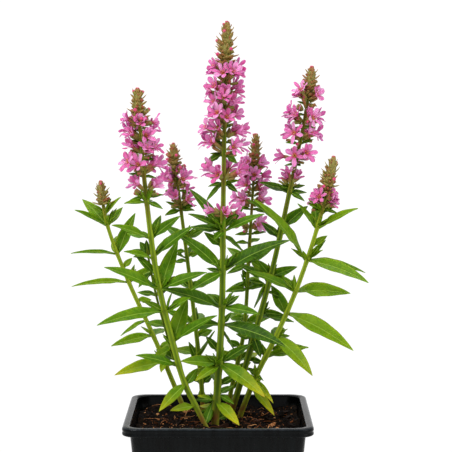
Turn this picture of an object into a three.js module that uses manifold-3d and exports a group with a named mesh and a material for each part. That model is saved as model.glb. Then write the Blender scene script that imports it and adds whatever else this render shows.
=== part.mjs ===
// A potted purple loosestrife: a black square nursery pot filled with bark compost, and seven
// upright stems with lance-shaped leaves, six of them in flower and all of them tipped with buds.
// Millimetres, +Z up. The origin is the centre of the pot's underside, and the front is -Y.

import * as THREE from "three";
import { mergeVertices } from "three/addons/utils/BufferGeometryUtils.js";
import Module from "manifold-3d";

const wasm = await Module();
wasm.setup();

// Pot: its outside, the rim that stands out round its top, and the drain holes in its base
const potWidth = 150;
const potHeight = 135;
const potBaseWidth = 114;
const rimDepth = 7;
const rimStep = 6;
const edgeRound = 1.4;
const wall = 1.6;
const floorThickness = 2;
const cornerRadius = 12;
const innerCornerRadius = 10;
const cornerSteps = 2;
const drainHoleRadius = 5;
const drainHoleSpacing = 66;
const drainHoleSides = 10;

// Compost: the height of its top, the lumps on it, and its lower edge along the wall
const soilHeight = 125;
const soilBump = 2.2;
const soilRipplePerMm = 0.11;
const soilShoulder = 7;
const soilEdgeDip = 2.5;
const soilRings = [1, 0.8, 0.6, 0.4, 0.2, 0.05];
const fitGap = 0.35;
const holeClearance = 2;

// Bark chips: sizes from the smallest to the largest
const chipCount = 18;
const chipSpread = 100;
const chipLengths = [6, 14];
const chipWidths = [3, 6];
const chipThickness = 2.6;
const chipRise = 0.6;
const chipTilt = 20;

// Stems: square in section, and slimmer towards the top
const stemFootHeight = 106;
const stemSides = 4;
const stemRadius = 4;
const stemTopRadius = 2.6;
const rachisTipRadius = 1.4;
const stemStep = 26;
const jointGap = 0.6;

// Leaves: half widths along the blade, from the clasping base to the last station before the tip
const leafOutline = [[0, 0.3], [0.2, 0.92], [0.48, 0.94], [0.78, 0.46]];
const leafThickness = 1.1;
const leafTaper = 0.3;
const leafInset = 0.45;
const leafWave = 0.35;
const leafCurlPerMm = 0.35;
const leafRoll = 52;
const leafRollEnd = 0.33;

// Flowers
const petalCount = 6;
const petalReach = 8;
const petalHalfWidth = 2.2;
const petalCup = 24;
const throatRadius = 1.6;
const calyxSides = 3;
const calyxDepth = 2.6;
const calyxRadius = 1.3;

// How the flowers of a whorl differ: degrees of turn and tilt, and shares of reach and size.
// They stand in two tufts on opposite sides of the stem.
const tuftSpread = 44;
const headingSpread = 12;
const tiltSpread = 26;
const innerReach = 0.78;
const sizeSpread = 0.12;

// Bud cones
const budRows = 8;
const budsPerRow = 5;
const budRelief = 0.3;
const budLift = 2.4;
const coneFootShare = 0.6;
const coneTipShare = 0.6;

// Each stem: the points that it passes through from the crown up to its tip, the height where
// its flowers or buds start, and its leaves as [height, heading, length, lift, width].
// A whorl is [height, number of flowers, reach from the stem, flower size, heading, least tilt].
// Angles are in degrees. A heading of 0 points to +X, 90 to the back and -90 to the front.
const plants = [
  {
    name: "far_left",
    girth: 0.75,
    seed: 11,
    path: [[-20, 40, 106], [-34, 42, 140], [-55, 37, 192], [-75, 31, 238], [-92, 25, 286],
      [-98, 20, 324]],
    spikeFoot: 303,
    coneFoot: 303,
    coneRadius: 6.2,
    whorls: [],
    leaves: [
      [296, -15, 19, 46, 6], [296, 165, 15, 30, 5],
      [286, 140, 35, 35, 11], [286, -150, 32, 25, 8], [286, -35, 22, 45, 6], [286, 60, 26, 30, 8],
      [262, -150, 42, 3, 5], [262, 40, 38, 60, 11], [262, 95, 34, 20, 10],
      [238, -150, 52, -1, 6.5], [238, 45, 40, 15, 10],
      [192, -155, 38, -10, 10], [192, 75, 36, 0, 10],
      [169, -172, 43, -14, 12], [169, -100, 14, -30, 6],
    ],
  },
  {
    name: "left",
    girth: 1.05,
    seed: 23,
    path: [[0, -21, 106], [-9.5, -20, 125], [-19.5, -19, 145], [-27.5, -19, 162],
      [-37, -19, 196], [-49, -18, 247], [-58, -17, 315], [-65, -15, 400]],
    spikeFoot: 312,
    coneFoot: 379,
    coneRadius: 6.6,
    whorls: [
      [314, 4, 15, 0.95, 190, 26], [331, 6, 15, 1.05, 210, 14], [344, 5, 14, 1, -20, 14],
      [356, 5, 14, 1, 166, 18], [367, 4, 12, 0.9, -40, 14],
    ],
    leaves: [
      [308, -146, 20, -2, 6], [308, -34, 16, -20, 5], [308, 80, 18, 0, 6],
      [279, -150, 36, 19, 10], [279, 143, 24, 5, 8], [279, 70, 26, 40, 8], [279, 25, 30, 35, 9],
      [265, -5, 40, 37, 11], [263, -144, 28, 13, 8],
      [238, -155, 50, 22, 13], [238, 42, 42, 63, 13], [238, -18, 42, 20, 11],
      [220, -150, 60, -8, 12], [220, 164, 20, 24, 6], [220, -30, 26, 28, 12],
      [196, 45, 36, 63, 14], [196, -20, 44, 31, 11], [190, 155, 22, -30, 12],
      [176, -154, 38, 16, 10],
      [160, -137, 32, -36, 10], [143, -150, 22, -5, 8],
    ],
  },
  {
    name: "centre",
    girth: 1.18,
    seed: 37,
    path: [[-4, -10, 106], [-1, -10, 150], [3, -9, 220], [4, -7, 300], [5.5, -6, 389], [7.5, -5, 453]],
    spikeFoot: 292,
    coneFoot: 424,
    coneRadius: 7.4,
    whorls: [
      [298, 4, 12, 0.8, -30, 12], [325, 6, 16, 1.05, 200, 18], [347, 5, 17, 1, 165, 12],
      [358, 6, 17, 1, 15, 14], [369, 6, 17, 1, 240, 14], [380, 6, 17, 1, 265, 14],
      [391, 6, 15, 1, 225, 14], [402, 5, 15, 1, 300, 18], [409, 4, 12, 0.9, 160, 20],
    ],
    leaves: [
      [286, 146, 45, 44, 9], [286, -155, 32, 22, 9], [284, 170, 26, 5, 8], [283, -110, 20, -15, 7],
      [286, 36, 26, 40, 8], [284, -12, 36, 22, 9], [271, 155, 19, 35, 8],
      [252, 158, 50, 36, 11.5], [252, -10, 60, 25, 14], [252, 40, 30, 30, 9], [250, -140, 34, -22, 10],
      [222, -162, 52, 18, 14], [222, -36, 36, -6, 10], [222, 36, 18, 26, 6], [222, 110, 36, 10, 12],
      [208, 172, 34, -8, 10], [208, -24, 58, -15, 14], [280, 30, 23, -39, 8],
      [176, -158, 32, 6, 12], [176, 28, 32, 26, 9], [176, -41, 52, -26, 14], [174, -125, 32, -15, 9],
      [176, 120, 34, 0, 10],
      [146, -143, 18, 17, 6], [144, -50, 31, -29, 10], [172, 165, 27, -18, 8], [139, 120, 26, -6, 8],
      [160, 100, 39, 8, 7],
    ],
  },
  {
    name: "back_left",
    girth: 0.78,
    seed: 41,
    path: [[-12, 46, 106], [-15, 45, 155], [-21, 47, 211], [-30, 48, 284], [-39, 50, 354]],
    spikeFoot: 299,
    coneFoot: 338,
    coneRadius: 5.2,
    whorls: [
      [301, 5, 12, 0.95, 190, 26], [316, 5, 12, 1, 170, 28], [325, 3, 7, 0.7, 250, 22],
    ],
    leaves: [
      [297, -146, 16, -15, 6], [297, -38, 14, 0, 5],
      [272, 30, 22, 24, 8], [272, 130, 28, 20, 9], [272, -60, 16, 30, 6],
      [257, 75, 30, 15, 9], [257, -128, 14, 15, 6],
      [230, 110, 38, 10, 12], [230, 15, 26, 25, 9],
      [200, 85, 42, 5, 13], [200, 170, 28, 25, 9],
      [174, -50, 31, 49, 11], [174, 125, 38, 0, 12], [166, 150, 21, 63, 7],
    ],
  },
  {
    name: "back_right",
    girth: 0.75,
    seed: 53,
    path: [[6, 51, 106], [10, 50, 139], [21, 51, 190], [26, 53, 264], [32, 55, 362]],
    spikeFoot: 275,
    coneFoot: 340,
    coneRadius: 5.2,
    whorls: [
      [279, 4, 13, 0.95, 0, 22], [300, 5, 14, 1, 185, 16], [311, 4, 12, 0.95, 10, 20],
      [321, 5, 13, 1, 230, 16], [331, 4, 11, 0.9, 15, 26],
    ],
    leaves: [
      [269, -146, 14, 0, 5], [269, 60, 18, 5, 6],
      [252, 130, 30, 20, 9], [252, 30, 26, 25, 8],
      [230, -136, 24, -3, 9], [230, -38, 20, 11, 8], [230, 75, 36, 10, 12],
      [200, 110, 40, 5, 13], [200, 20, 30, 15, 10],
      [168, 65, 42, 0, 13], [168, 140, 26, 15, 9],
    ],
  },
  {
    name: "right",
    girth: 1,
    seed: 67,
    path: [[3, 39, 106], [13, 36, 134], [31, 32, 196], [45, 29, 249], [59, 26, 314], [71.5, 22, 377],
      [77.5, 20, 418]],
    spikeFoot: 317,
    coneFoot: 400,
    coneRadius: 6.6,
    whorls: [
      [319, 4, 11, 0.85, 10, 42], [339, 5, 14, 1.05, 300, 12], [356, 5, 14, 1, 20, 14],
      [369, 5, 14, 1, 170, 18], [388, 4, 12, 0.9, 10, 20],
    ],
    leaves: [
      [313, 154, 28, 16, 8], [313, 37, 18, -4, 6], [313, -37, 16, -26, 5],
      [284, 27, 29, 36, 11], [286, -150, 40, 34, 10], [275, 140, 22, 34, 8], [277, 75, 34, 10, 10],
      [240, 60, 38, 10, 12], [240, 150, 30, 20, 9],
      [209, 35, 36, -13, 10], [236, 140, 26, -56, 13],
      [178, 75, 32, 5, 10], [243, 20, 24, 16, 9],
    ],
  },
  {
    name: "far_right",
    girth: 0.85,
    seed: 79,
    path: [[11, 31, 106], [30, 26, 156], [48, 21, 194], [64, 16, 232], [81, 8, 285],
      [95, 0, 345]],
    spikeFoot: 300,
    coneFoot: 319,
    coneRadius: 6.6,
    whorls: [
      [303, 4, 11, 0.9, 200, 12], [308, 3, 10, 0.8, 170, 20],
    ],
    leaves: [
      [298, -160, 14, 35, 5], [297, 20, 14, 30, 5],
      [285, -165, 26, 52, 8], [285, 97, 24, 50, 9], [285, -29, 40, 26, 10],
      [258, -160, 71, 48, 13.5], [258, -38, 62, -14, 12.5], [258, 0, 22, 49, 6], [258, 20, 54, -13, 8],
      [232, 10, 46, -4, 15], [232, -160, 46, 23, 10], [232, 134, 32, 25, 9],
      [213, -20, 64, -27, 15], [213, 119, 32, 41, 11],
      [193, -46, 50, -34, 13], [193, 23, 12, 0, 5], [193, 80, 36, 5, 12],
      [176, 25, 40, 7, 10], [176, 100, 18, 25, 6],
      [156, -55, 30, -32, 6], [152, 60, 14, 10, 5], [150, -45, 33, -40, 8],
    ],
  },
];

const finishes = {
  pot: new THREE.MeshStandardMaterial({ color: 0x1b1d1f, roughness: 0.45, metalness: 0 }),
  soil: new THREE.MeshStandardMaterial({ color: 0x3a2418, roughness: 0.95, metalness: 0 }),
  leaf: new THREE.MeshStandardMaterial({ color: 0x4c7f2b, roughness: 0.55, metalness: 0 }),
  flower: new THREE.MeshStandardMaterial({ color: 0xcf62ad, roughness: 0.6, metalness: 0 }),
  bud: new THREE.MeshStandardMaterial({ color: 0x7a7a45, roughness: 0.7, metalness: 0 }),
};

const radians = THREE.MathUtils.degToRad;

// Repeatable random numbers from 0 to 1
function dice(seed) {
  let state = seed;
  return () => {
    state = (Math.imul(state, 1664525) + 1013904223) >>> 0;
    return state / 4294967296;
  };
}

function solidOf(points, triangles) {
  const vertProperties = new Float32Array(points.flatMap((p) => [p.x, p.y, p.z]));
  const triVerts = new Uint32Array(triangles.flat());
  return new wasm.Manifold(new wasm.Mesh({ numProp: 3, vertProperties, triVerts }));
}

function solidFromGeometry(geometry) {
  geometry.deleteAttribute("normal");
  geometry.deleteAttribute("uv");
  const merged = mergeVertices(geometry, 1e-4);
  const vertProperties = new Float32Array(merged.attributes.position.array);
  const triVerts = new Uint32Array(merged.index.array);
  return new wasm.Manifold(new wasm.Mesh({ numProp: 3, vertProperties, triVerts }));
}

// A closed skin over rings of points that run counter-clockwise about the way they progress.
// It starts on a flat cap and ends on one, or on a tip. Each quad is split the way that bulges
// outwards, so that the two faces of a thin, twisted blade never cross.
function skin(rings, tip) {
  const size = rings[0].length;
  const points = rings.flat();
  const triangles = [];
  for (let r = 0; r + 1 < rings.length; r++) {
    for (let i = 0; i < size; i++) {
      const a = r * size + i;
      const b = r * size + ((i + 1) % size);
      const c = a + size;
      const d = b + size;
      const outward = new THREE.Plane().setFromCoplanarPoints(points[a], points[b], points[d]);
      if (outward.distanceToPoint(points[c]) <= 0) {
        triangles.push([a, b, d], [a, d, c]);
      } else {
        triangles.push([a, b, c], [b, d, c]);
      }
    }
  }
  const last = (rings.length - 1) * size;
  for (let i = 1; i + 1 < size; i++) {
    triangles.push([0, i + 1, i]);
  }
  if (tip) {
    points.push(tip);
    for (let i = 0; i < size; i++) {
      triangles.push([last + i, last + ((i + 1) % size), points.length - 1]);
    }
  } else {
    for (let i = 1; i + 1 < size; i++) {
      triangles.push([last, last + i, last + i + 1]);
    }
  }
  return solidOf(points, triangles);
}

function fuse(solids) {
  return solids.reduce((whole, solid) => whole.add(solid));
}

function piece(name, solid, finish) {
  const { vertProperties, triVerts } = solid.getMesh();
  const geometry = new THREE.BufferGeometry();
  geometry.setAttribute("position", new THREE.BufferAttribute(vertProperties, 3));
  geometry.setIndex(new THREE.BufferAttribute(triVerts, 1));
  geometry.computeVertexNormals();
  const mesh = new THREE.Mesh(geometry, finish);
  mesh.name = name;
  return mesh;
}

// The outline of a square with round corners, at one height
function squareRing(halfWidth, radius, height) {
  const ring = [];
  for (let corner = 0; corner < 4; corner++) {
    for (let step = 0; step <= cornerSteps; step++) {
      const angle = (Math.PI / 2) * (corner + step / cornerSteps);
      const middle = (Math.PI / 2) * (corner + 0.5);
      const reach = (halfWidth - radius) * Math.SQRT2;
      ring.push(new THREE.Vector3(
        reach * Math.cos(middle) + radius * Math.cos(angle),
        reach * Math.sin(middle) + radius * Math.sin(angle),
        height,
      ));
    }
  }
  return ring;
}

// Half the pot's outer width below the rim, at a height
function potHalfWidth(height) {
  const rimFoot = potHeight - rimDepth;
  return THREE.MathUtils.lerp(potBaseWidth / 2, potWidth / 2 - rimStep, height / rimFoot);
}

// One thin-walled moulding: tapered walls, a rim that stands out, and drain holes in the base
function pot() {
  const rimFoot = potHeight - rimDepth;
  const half = potWidth / 2;
  const opening = half - rimStep;
  const body = skin([
    squareRing(potHalfWidth(0) - edgeRound, innerCornerRadius, 0),
    squareRing(potHalfWidth(edgeRound), cornerRadius, edgeRound),
    squareRing(potHalfWidth(rimFoot), cornerRadius, rimFoot),
    squareRing(half - edgeRound, cornerRadius, rimFoot),
    squareRing(half, cornerRadius, rimFoot + edgeRound),
    squareRing(half, cornerRadius, potHeight - edgeRound),
    squareRing(half - edgeRound, cornerRadius, potHeight),
    squareRing(opening + edgeRound, innerCornerRadius, potHeight),
    squareRing(opening, innerCornerRadius, potHeight - edgeRound),
    squareRing(potHalfWidth(rimFoot) - wall, innerCornerRadius, rimFoot - wall),
    squareRing(potHalfWidth(floorThickness) - wall, innerCornerRadius, floorThickness),
  ]);
  const drill = new THREE.CylinderGeometry(
    drainHoleRadius, drainHoleRadius, 4 * floorThickness, drainHoleSides,
  );
  drill.rotateX(Math.PI / 2);
  const offset = drainHoleSpacing / 2;
  const holes = [[-offset, -offset], [offset, -offset], [offset, offset], [-offset, offset]]
    .map(([x, y]) => solidFromGeometry(drill.clone().translate(x, y, 0)));
  return piece("pot", holes.reduce((whole, hole) => whole.subtract(hole), body), finishes.pot);
}

function soilTop(x, y) {
  const ripple = soilRipplePerMm;
  const lumps = Math.sin(x * ripple) * Math.cos(y * ripple) + 0.5 * Math.sin((x + y) * 2 * ripple);
  return soilHeight + soilBump * lumps;
}

// A flat, blunt splinter of bark that lies half sunk in the compost
function barkChip(random) {
  const x = (random() - 0.5) * chipSpread;
  const y = (random() - 0.5) * chipSpread;
  const tilt = () => radians(chipTilt) * (2 * random() - 1);
  const geometry = new THREE.BoxGeometry(
    THREE.MathUtils.lerp(...chipLengths, random()),
    THREE.MathUtils.lerp(...chipWidths, random()),
    chipThickness,
  );
  geometry.rotateX(tilt());
  geometry.rotateY(tilt());
  geometry.rotateZ(random() * Math.PI);
  geometry.translate(x, y, soilTop(x, y) + chipRise);
  return solidFromGeometry(geometry);
}

// The fill of the pot: compost with a lumpy top, bark chips and a plain hole for each stem
function soil() {
  const foot = floorThickness + fitGap;
  const shoulder = soilHeight - soilShoulder;
  const inside = (height) => potHalfWidth(height) - wall - fitGap;
  const rings = [
    squareRing(inside(foot), innerCornerRadius, foot),
    squareRing(inside(shoulder), innerCornerRadius, shoulder),
  ];
  for (const share of soilRings) {
    const ring = squareRing(inside(shoulder) * share, innerCornerRadius * share, 0);
    const dip = share === 1 ? soilEdgeDip : 0;
    ring.forEach((point) => {
      point.z = soilTop(point.x, point.y) - dip;
    });
    rings.push(ring);
  }
  const random = dice(5);
  const chips = Array.from({ length: chipCount }, () => barkChip(random));
  const filled = fuse([skin(rings), ...chips]);
  const holes = plants.map((plant) => {
    const [foot, next] = stretch(plant, stemFootHeight, plant.spikeFoot - jointGap);
    const along = next.clone().sub(foot).normalize();
    const points = [foot.addScaledVector(along, -holeClearance), next];
    return tube(points, () => plant.girth * stemRadius + fitGap);
  });
  return piece("soil", holes.reduce((whole, hole) => whole.subtract(hole), filled), finishes.soil);
}

function curveOf(plant) {
  return new THREE.CatmullRomCurve3(plant.path.map((p) => new THREE.Vector3(...p)));
}

// The point of a stem's curve at a height. The stem climbs all the way, so halving finds it.
function pointAtHeight(curve, height) {
  let low = 0;
  let high = 1;
  for (let i = 0; i < 24; i++) {
    const middle = (low + high) / 2;
    if (curve.getPoint(middle).z < height) {
      low = middle;
    } else {
      high = middle;
    }
  }
  return curve.getPoint(high);
}

// Points along a stem between two heights
function stretch(plant, from, to) {
  const curve = curveOf(plant);
  const steps = Math.max(2, Math.round((to - from) / stemStep));
  return Array.from({ length: steps + 1 }, (_, i) => {
    return pointAtHeight(curve, THREE.MathUtils.lerp(from, to, i / steps));
  });
}

function tube(points, radiusAt) {
  const rings = points.map((point, i) => {
    const before = points[Math.max(0, i - 1)];
    const after = points[Math.min(points.length - 1, i + 1)];
    const along = after.clone().sub(before).normalize();
    const across = new THREE.Vector3(1, 0, 0).addScaledVector(along, -along.x).normalize();
    const behind = along.clone().cross(across);
    const radius = radiusAt(point.z);
    return Array.from({ length: stemSides }, (_, k) => {
      const angle = (2 * Math.PI * (k + 0.5)) / stemSides;
      return point.clone()
        .addScaledVector(across, radius * Math.cos(angle))
        .addScaledVector(behind, radius * Math.sin(angle));
    });
  });
  return skin(rings);
}

function stemRadiusAt(plant, height) {
  const top = plant.path.at(-1)[2];
  if (height < plant.spikeFoot) {
    const share = (height - stemFootHeight) / (plant.spikeFoot - stemFootHeight);
    return plant.girth * THREE.MathUtils.lerp(stemRadius, stemTopRadius, share);
  }
  const share = (height - plant.spikeFoot) / (top - plant.spikeFoot);
  return plant.girth * THREE.MathUtils.lerp(stemTopRadius, rachisTipRadius, share);
}

// A lance-shaped blade that starts inside the stem, arches over its length, has a keel along its
// midrib and a waved edge, and turns its face to the light at the front
function leaf(axis, inset, [, heading, length, lift, width]) {
  const turn = radians(heading);
  const curl = radians(leafCurlPerMm * length);
  const start = radians(lift) + curl / 2;
  const roll = radians(leafRoll) * Math.cos(turn);
  const out = new THREE.Vector3(Math.cos(turn), Math.sin(turn), 0);
  const up = new THREE.Vector3(0, 0, 1);
  const level = new THREE.Vector3(-Math.sin(turn), Math.cos(turn), 0);
  const root = axis.clone().addScaledVector(out, inset);
  const spot = (share) => {
    const angle = start - curl * share;
    const reach = (Math.sin(start) - Math.sin(angle)) / curl;
    const rise = (Math.cos(angle) - Math.cos(start)) / curl;
    return root.clone().addScaledVector(out, reach * length).addScaledVector(up, rise * length);
  };
  const rings = leafOutline.map(([share, fullness], i) => {
    const angle = start - curl * share;
    const normal = up.clone().multiplyScalar(Math.cos(angle)).addScaledVector(out, -Math.sin(angle));
    const turned = roll * Math.min(1, share / leafRollEnd);
    const side = level.clone().multiplyScalar(Math.cos(turned)).addScaledVector(normal, Math.sin(turned));
    const face = normal.multiplyScalar(Math.cos(turned)).addScaledVector(level, -Math.sin(turned));
    const half = (width / 2) * fullness;
    const wave = i % 2 === 0 ? 0 : leafWave;
    const middle = spot(share);
    const thick = leafThickness * (1 - leafTaper * share);
    return [
      middle.clone().addScaledVector(side, half).addScaledVector(face, wave),
      middle.clone().addScaledVector(side, -half).addScaledVector(face, -wave),
      middle.clone().addScaledVector(face, -thick),
    ];
  });
  return skin(rings, spot(1));
}

function leafyStem(plant) {
  const curve = curveOf(plant);
  const top = plant.spikeFoot - jointGap;
  const stem = tube(stretch(plant, stemFootHeight, top), (height) => stemRadiusAt(plant, height));
  const leaves = plant.leaves.map((row) => {
    return leaf(pointAtHeight(curve, row[0]), stemRadiusAt(plant, row[0]) * leafInset, row);
  });
  return piece(`stem_${plant.name}`, fuse([stem, ...leaves]), finishes.leaf);
}

// One open flower: six petals, each widest near its end, round a small throat, on a calyx with
// three faces that tapers back to the stem's axis
function flower(root, heading, tilt, reach, size, spin) {
  const face = new THREE.Vector3(
    Math.cos(heading) * Math.cos(tilt),
    Math.sin(heading) * Math.cos(tilt),
    Math.sin(tilt),
  );
  const across = new THREE.Vector3(-Math.sin(heading), Math.cos(heading), 0);
  const above = face.clone().cross(across);
  const throat = root.clone().addScaledVector(face, reach);
  const place = (angle, radius, forward) => throat.clone()
    .addScaledVector(across, size * radius * Math.cos(angle))
    .addScaledVector(above, size * radius * Math.sin(angle))
    .addScaledVector(face, size * forward);
  const step = (2 * Math.PI) / petalCount;
  const cup = radians(petalCup);
  const spread = Math.atan(petalHalfWidth / petalReach);
  const corner = (angle) => place(angle, petalReach * Math.cos(cup), petalReach * Math.sin(cup));
  const petals = Array.from({ length: petalCount }, (_, i) => i);
  const sepals = Array.from({ length: calyxSides }, (_, k) => k);
  const points = [
    ...petals.map((i) => place(spin + step * (i - 0.5), throatRadius, 0)),
    ...petals.flatMap((i) => [corner(spin + step * i - spread), corner(spin + step * i + spread)]),
    ...sepals.map((k) => place(spin + step * (2 * k + 0.5), calyxRadius, -calyxDepth)),
    root,
  ];
  const foot = points.length - 1;
  const sepalOf = (i) => 3 * petalCount + (Math.floor(i / 2) % calyxSides);
  const triangles = petals.flatMap((notch) => {
    const next = (notch + 1) % petalCount;
    const right = petalCount + 2 * notch;
    const left = right + 1;
    const behind = sepalOf(notch);
    return [[notch, right, left], [notch, left, next],
      [behind, next, left], [behind, left, right], [behind, right, notch]];
  });
  sepals.forEach((k) => {
    const behind = sepalOf(2 * k);
    const nextBehind = sepalOf(2 * k + 2);
    triangles.push([(2 * k + 2) % petalCount, behind, nextBehind], [foot, nextBehind, behind]);
  });
  for (let i = 1; i + 1 < petalCount; i++) {
    triangles.push([0, i, i + 1]);
  }
  return solidOf(points, triangles);
}

// The flowering length of a stem: whorls of open flowers, in two depths so that they overlap
function flowerSpike(plant) {
  const random = dice(plant.seed);
  const curve = curveOf(plant);
  const from = plant.spikeFoot;
  const to = plant.coneFoot - jointGap;
  const vary = () => 1 + sizeSpread * (random() - 0.5);
  const rachis = tube(stretch(plant, from, to), (height) => stemRadiusAt(plant, height));
  const flowers = plant.whorls.flatMap(([height, count, reach, size, towards, leastTilt]) => {
    const root = pointAtHeight(curve, height + 1);
    return Array.from({ length: count }, (_, j) => {
      const rank = Math.floor(j / 2);
      const last = Math.ceil((count - (j % 2)) / 2) - 1;
      const turn = towards + 180 * (j % 2) + (last > 0 ? tuftSpread * ((2 * rank) / last - 1) : 0);
      const heading = radians(turn + headingSpread * (random() - 0.5));
      const tilt = radians(leastTilt + tiltSpread * random());
      const depth = reach * (rank % 2 === 1 ? 1 : innerReach) * vary();
      return flower(root, heading, tilt, depth, size * vary(), random() * Math.PI);
    });
  });
  return piece(`flowers_${plant.name}`, fuse([rachis, ...flowers]), finishes.flower);
}

// The growing tip: a blunt cone covered all over in closed buds, which stand out of it in rows
// that are turned by half a bud from one row to the next
function budCone(plant) {
  const curve = curveOf(plant);
  const foot = plant.coneFoot;
  const top = plant.path.at(-1)[2];
  const sides = 2 * budsPerRow;
  const rings = Array.from({ length: budRows + 1 }, (_, row) => {
    const share = row / (budRows + coneTipShare);
    const middle = pointAtHeight(curve, THREE.MathUtils.lerp(foot, top, share));
    const fullness = Math.sqrt(1 - share * share);
    return Array.from({ length: sides }, (_, k) => {
      const angle = (2 * Math.PI * k) / sides;
      const standsOut = (k + row) % 2 === 0 ? 1 : 1 - 2 * budRelief;
      const radius = plant.coneRadius * fullness * (row === 0 ? coneFootShare : standsOut);
      return new THREE.Vector3(
        middle.x + radius * Math.cos(angle),
        middle.y + radius * Math.sin(angle),
        middle.z + (row === 0 ? 0 : budLift * (standsOut - 1 + budRelief)),
      );
    });
  });
  return piece(`buds_${plant.name}`, skin(rings, pointAtHeight(curve, top)), finishes.bud);
}

const group = new THREE.Group();
group.add(pot(), soil());
for (const plant of plants) {
  group.add(leafyStem(plant));
  if (plant.whorls.length > 0) {
    group.add(flowerSpike(plant));
  }
  group.add(budCone(plant));
}

export default group;
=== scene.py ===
"""A potted purple loosestrife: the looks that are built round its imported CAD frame."""

import math

import bpy
import numpy as np
from mathutils import Matrix, Vector, noise


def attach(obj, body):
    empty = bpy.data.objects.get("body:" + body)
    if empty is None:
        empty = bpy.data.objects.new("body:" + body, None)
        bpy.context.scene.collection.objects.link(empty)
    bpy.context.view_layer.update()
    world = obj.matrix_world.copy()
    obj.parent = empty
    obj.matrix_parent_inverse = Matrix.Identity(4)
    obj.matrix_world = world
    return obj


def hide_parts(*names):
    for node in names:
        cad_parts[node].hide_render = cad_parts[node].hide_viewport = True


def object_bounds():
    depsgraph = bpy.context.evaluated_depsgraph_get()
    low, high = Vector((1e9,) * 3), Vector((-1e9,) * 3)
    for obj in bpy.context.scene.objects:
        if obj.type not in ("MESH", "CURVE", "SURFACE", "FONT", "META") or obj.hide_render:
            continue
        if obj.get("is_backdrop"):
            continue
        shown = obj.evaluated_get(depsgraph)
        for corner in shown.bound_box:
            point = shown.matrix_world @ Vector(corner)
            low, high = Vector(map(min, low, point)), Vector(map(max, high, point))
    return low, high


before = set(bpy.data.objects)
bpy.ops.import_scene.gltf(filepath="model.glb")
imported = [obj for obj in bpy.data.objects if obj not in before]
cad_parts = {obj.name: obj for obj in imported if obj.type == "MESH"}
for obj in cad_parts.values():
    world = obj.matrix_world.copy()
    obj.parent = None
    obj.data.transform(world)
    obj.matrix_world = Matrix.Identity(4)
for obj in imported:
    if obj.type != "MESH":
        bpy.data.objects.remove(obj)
cad_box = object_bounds()


# The pot is a square nursery pot, injection-moulded in black polypropylene in one shot. Its wall
# tapers so that it leaves the mould, fine ribs run down it, and its rim is turned out to stiffen
# it. It stands on its base, which has four drain holes.
mm = 0.001
pot_width = 150.0
pot_height = 135.0
pot_base_width = 114.0
pot_wall_thickness = 1.6
pot_wall_start = 8.0
pot_wall_end = 127.0
pot_wall_rings = 12
pot_floor = 2.0
pot_corner = 12.0
pot_inner_corner = 10.0
pot_corner_steps = 10
pot_side_steps = 150
rim_depth = 7.0
rim_step = 6.0
rim_round = 1.9
rim_fillet = 0.5
rim_foot = pot_height - rim_depth
rim_groove = [(2.0, 0.0), (2.7, 0.35), (3.6, 0.35), (4.3, 0.0)]
edge_round = 1.4
pot_rib_spacing = 5.5
pot_rib_height = 0.16
pot_rib_sharpness = 6
pot_ribbed_share = 0.96
drain_hole_radius = 5.0
drain_hole_spacing = 66.0
drain_hole_sides = 32
pot_black = "#050606"
pot_streak_black = "#0C0F10"
rim_scuffed = "#363B40"
scuffed_share = 0.35
pot_roughness = (0.14, 0.3)
pot_grain_mm = 0.9
pot_streak_mm = (3.846, 3.846, 71.43)


def linear(code):
    """An sRGB hex value as the linear colour that a socket takes."""
    parts = [int(code[i:i + 2], 16) / 255 for i in (1, 3, 5)]
    return [c / 12.92 if c <= 0.04045 else ((c + 0.055) / 1.055) ** 2.4 for c in parts] + [1.0]


def feed(tree, node, inputs):
    """Sets a node's inputs. A socket or a node's first output is linked, a hex value is a colour."""
    for name, value in inputs.items():
        if isinstance(value, bpy.types.Node):
            value = next(socket for socket in value.outputs if socket.enabled)
        if isinstance(value, bpy.types.NodeSocket):
            tree.links.new(value, node.inputs[name])
        else:
            node.inputs[name].default_value = linear(value) if isinstance(value, str) else value


def add_node(tree, kind, inputs=None, stops=None, **settings):
    """Adds a shader node with its settings and inputs. A stop is a place with a hex value or a grey."""
    node = tree.nodes.new("ShaderNode" + kind)
    for name, value in settings.items():
        setattr(node, name, value)
    feed(tree, node, inputs or {})
    for i, (place, colour) in enumerate(stops or []):
        ramp = node.color_ramp.elements
        stop = ramp[i] if i < 2 else ramp.new(place)
        stop.position = place
        stop.color = linear(colour) if isinstance(colour, str) else [colour] * 3 + [1.0]
    return node


def new_material(name):
    """An empty material with its node tree and its Principled shader."""
    material = bpy.data.materials.new(name)
    material.use_nodes = True
    tree = material.node_tree
    return material, tree, tree.nodes["Principled BSDF"]


class Gathering:
    """Many small shapes that become one mesh: points in millimetres, faces, values per point."""

    def __init__(self):
        self.points = []
        self.faces = []
        self.values = {}
        self.count = 0

    def add(self, points, faces, **values):
        """One more shape. A single value counts for all of its points."""
        for name, value in values.items():
            value = np.asarray(value, float)
            if value.ndim == 0:
                value = np.full(len(points), float(value))
            self.values.setdefault(name, []).append(value)
        self.faces += [[corner + self.count for corner in face] for face in faces]
        self.points.append(points)
        self.count += len(points)

    def piece(self, name, material, slot, *nodes):
        """The mesh as a piece of the object, which stands for the CAD nodes that are named."""
        mesh = bpy.data.meshes.new(name)
        mesh.from_pydata(np.vstack(self.points) * mm, [], self.faces)
        mesh.shade_smooth()
        for label, parts in self.values.items():
            value = np.concatenate(parts)
            kind, field = ("FLOAT", "value") if value.ndim == 1 else ("FLOAT_VECTOR", "vector")
            layer = mesh.attributes.new(label, kind, "POINT")
            layer.data.foreach_set(field, value.astype(np.float32).ravel())
        mesh.materials.append(material)
        made = bpy.data.objects.new(name, mesh)
        bpy.context.scene.collection.objects.link(made)
        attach(made, "root")
        if nodes:
            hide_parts(*nodes)
        return made


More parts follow.
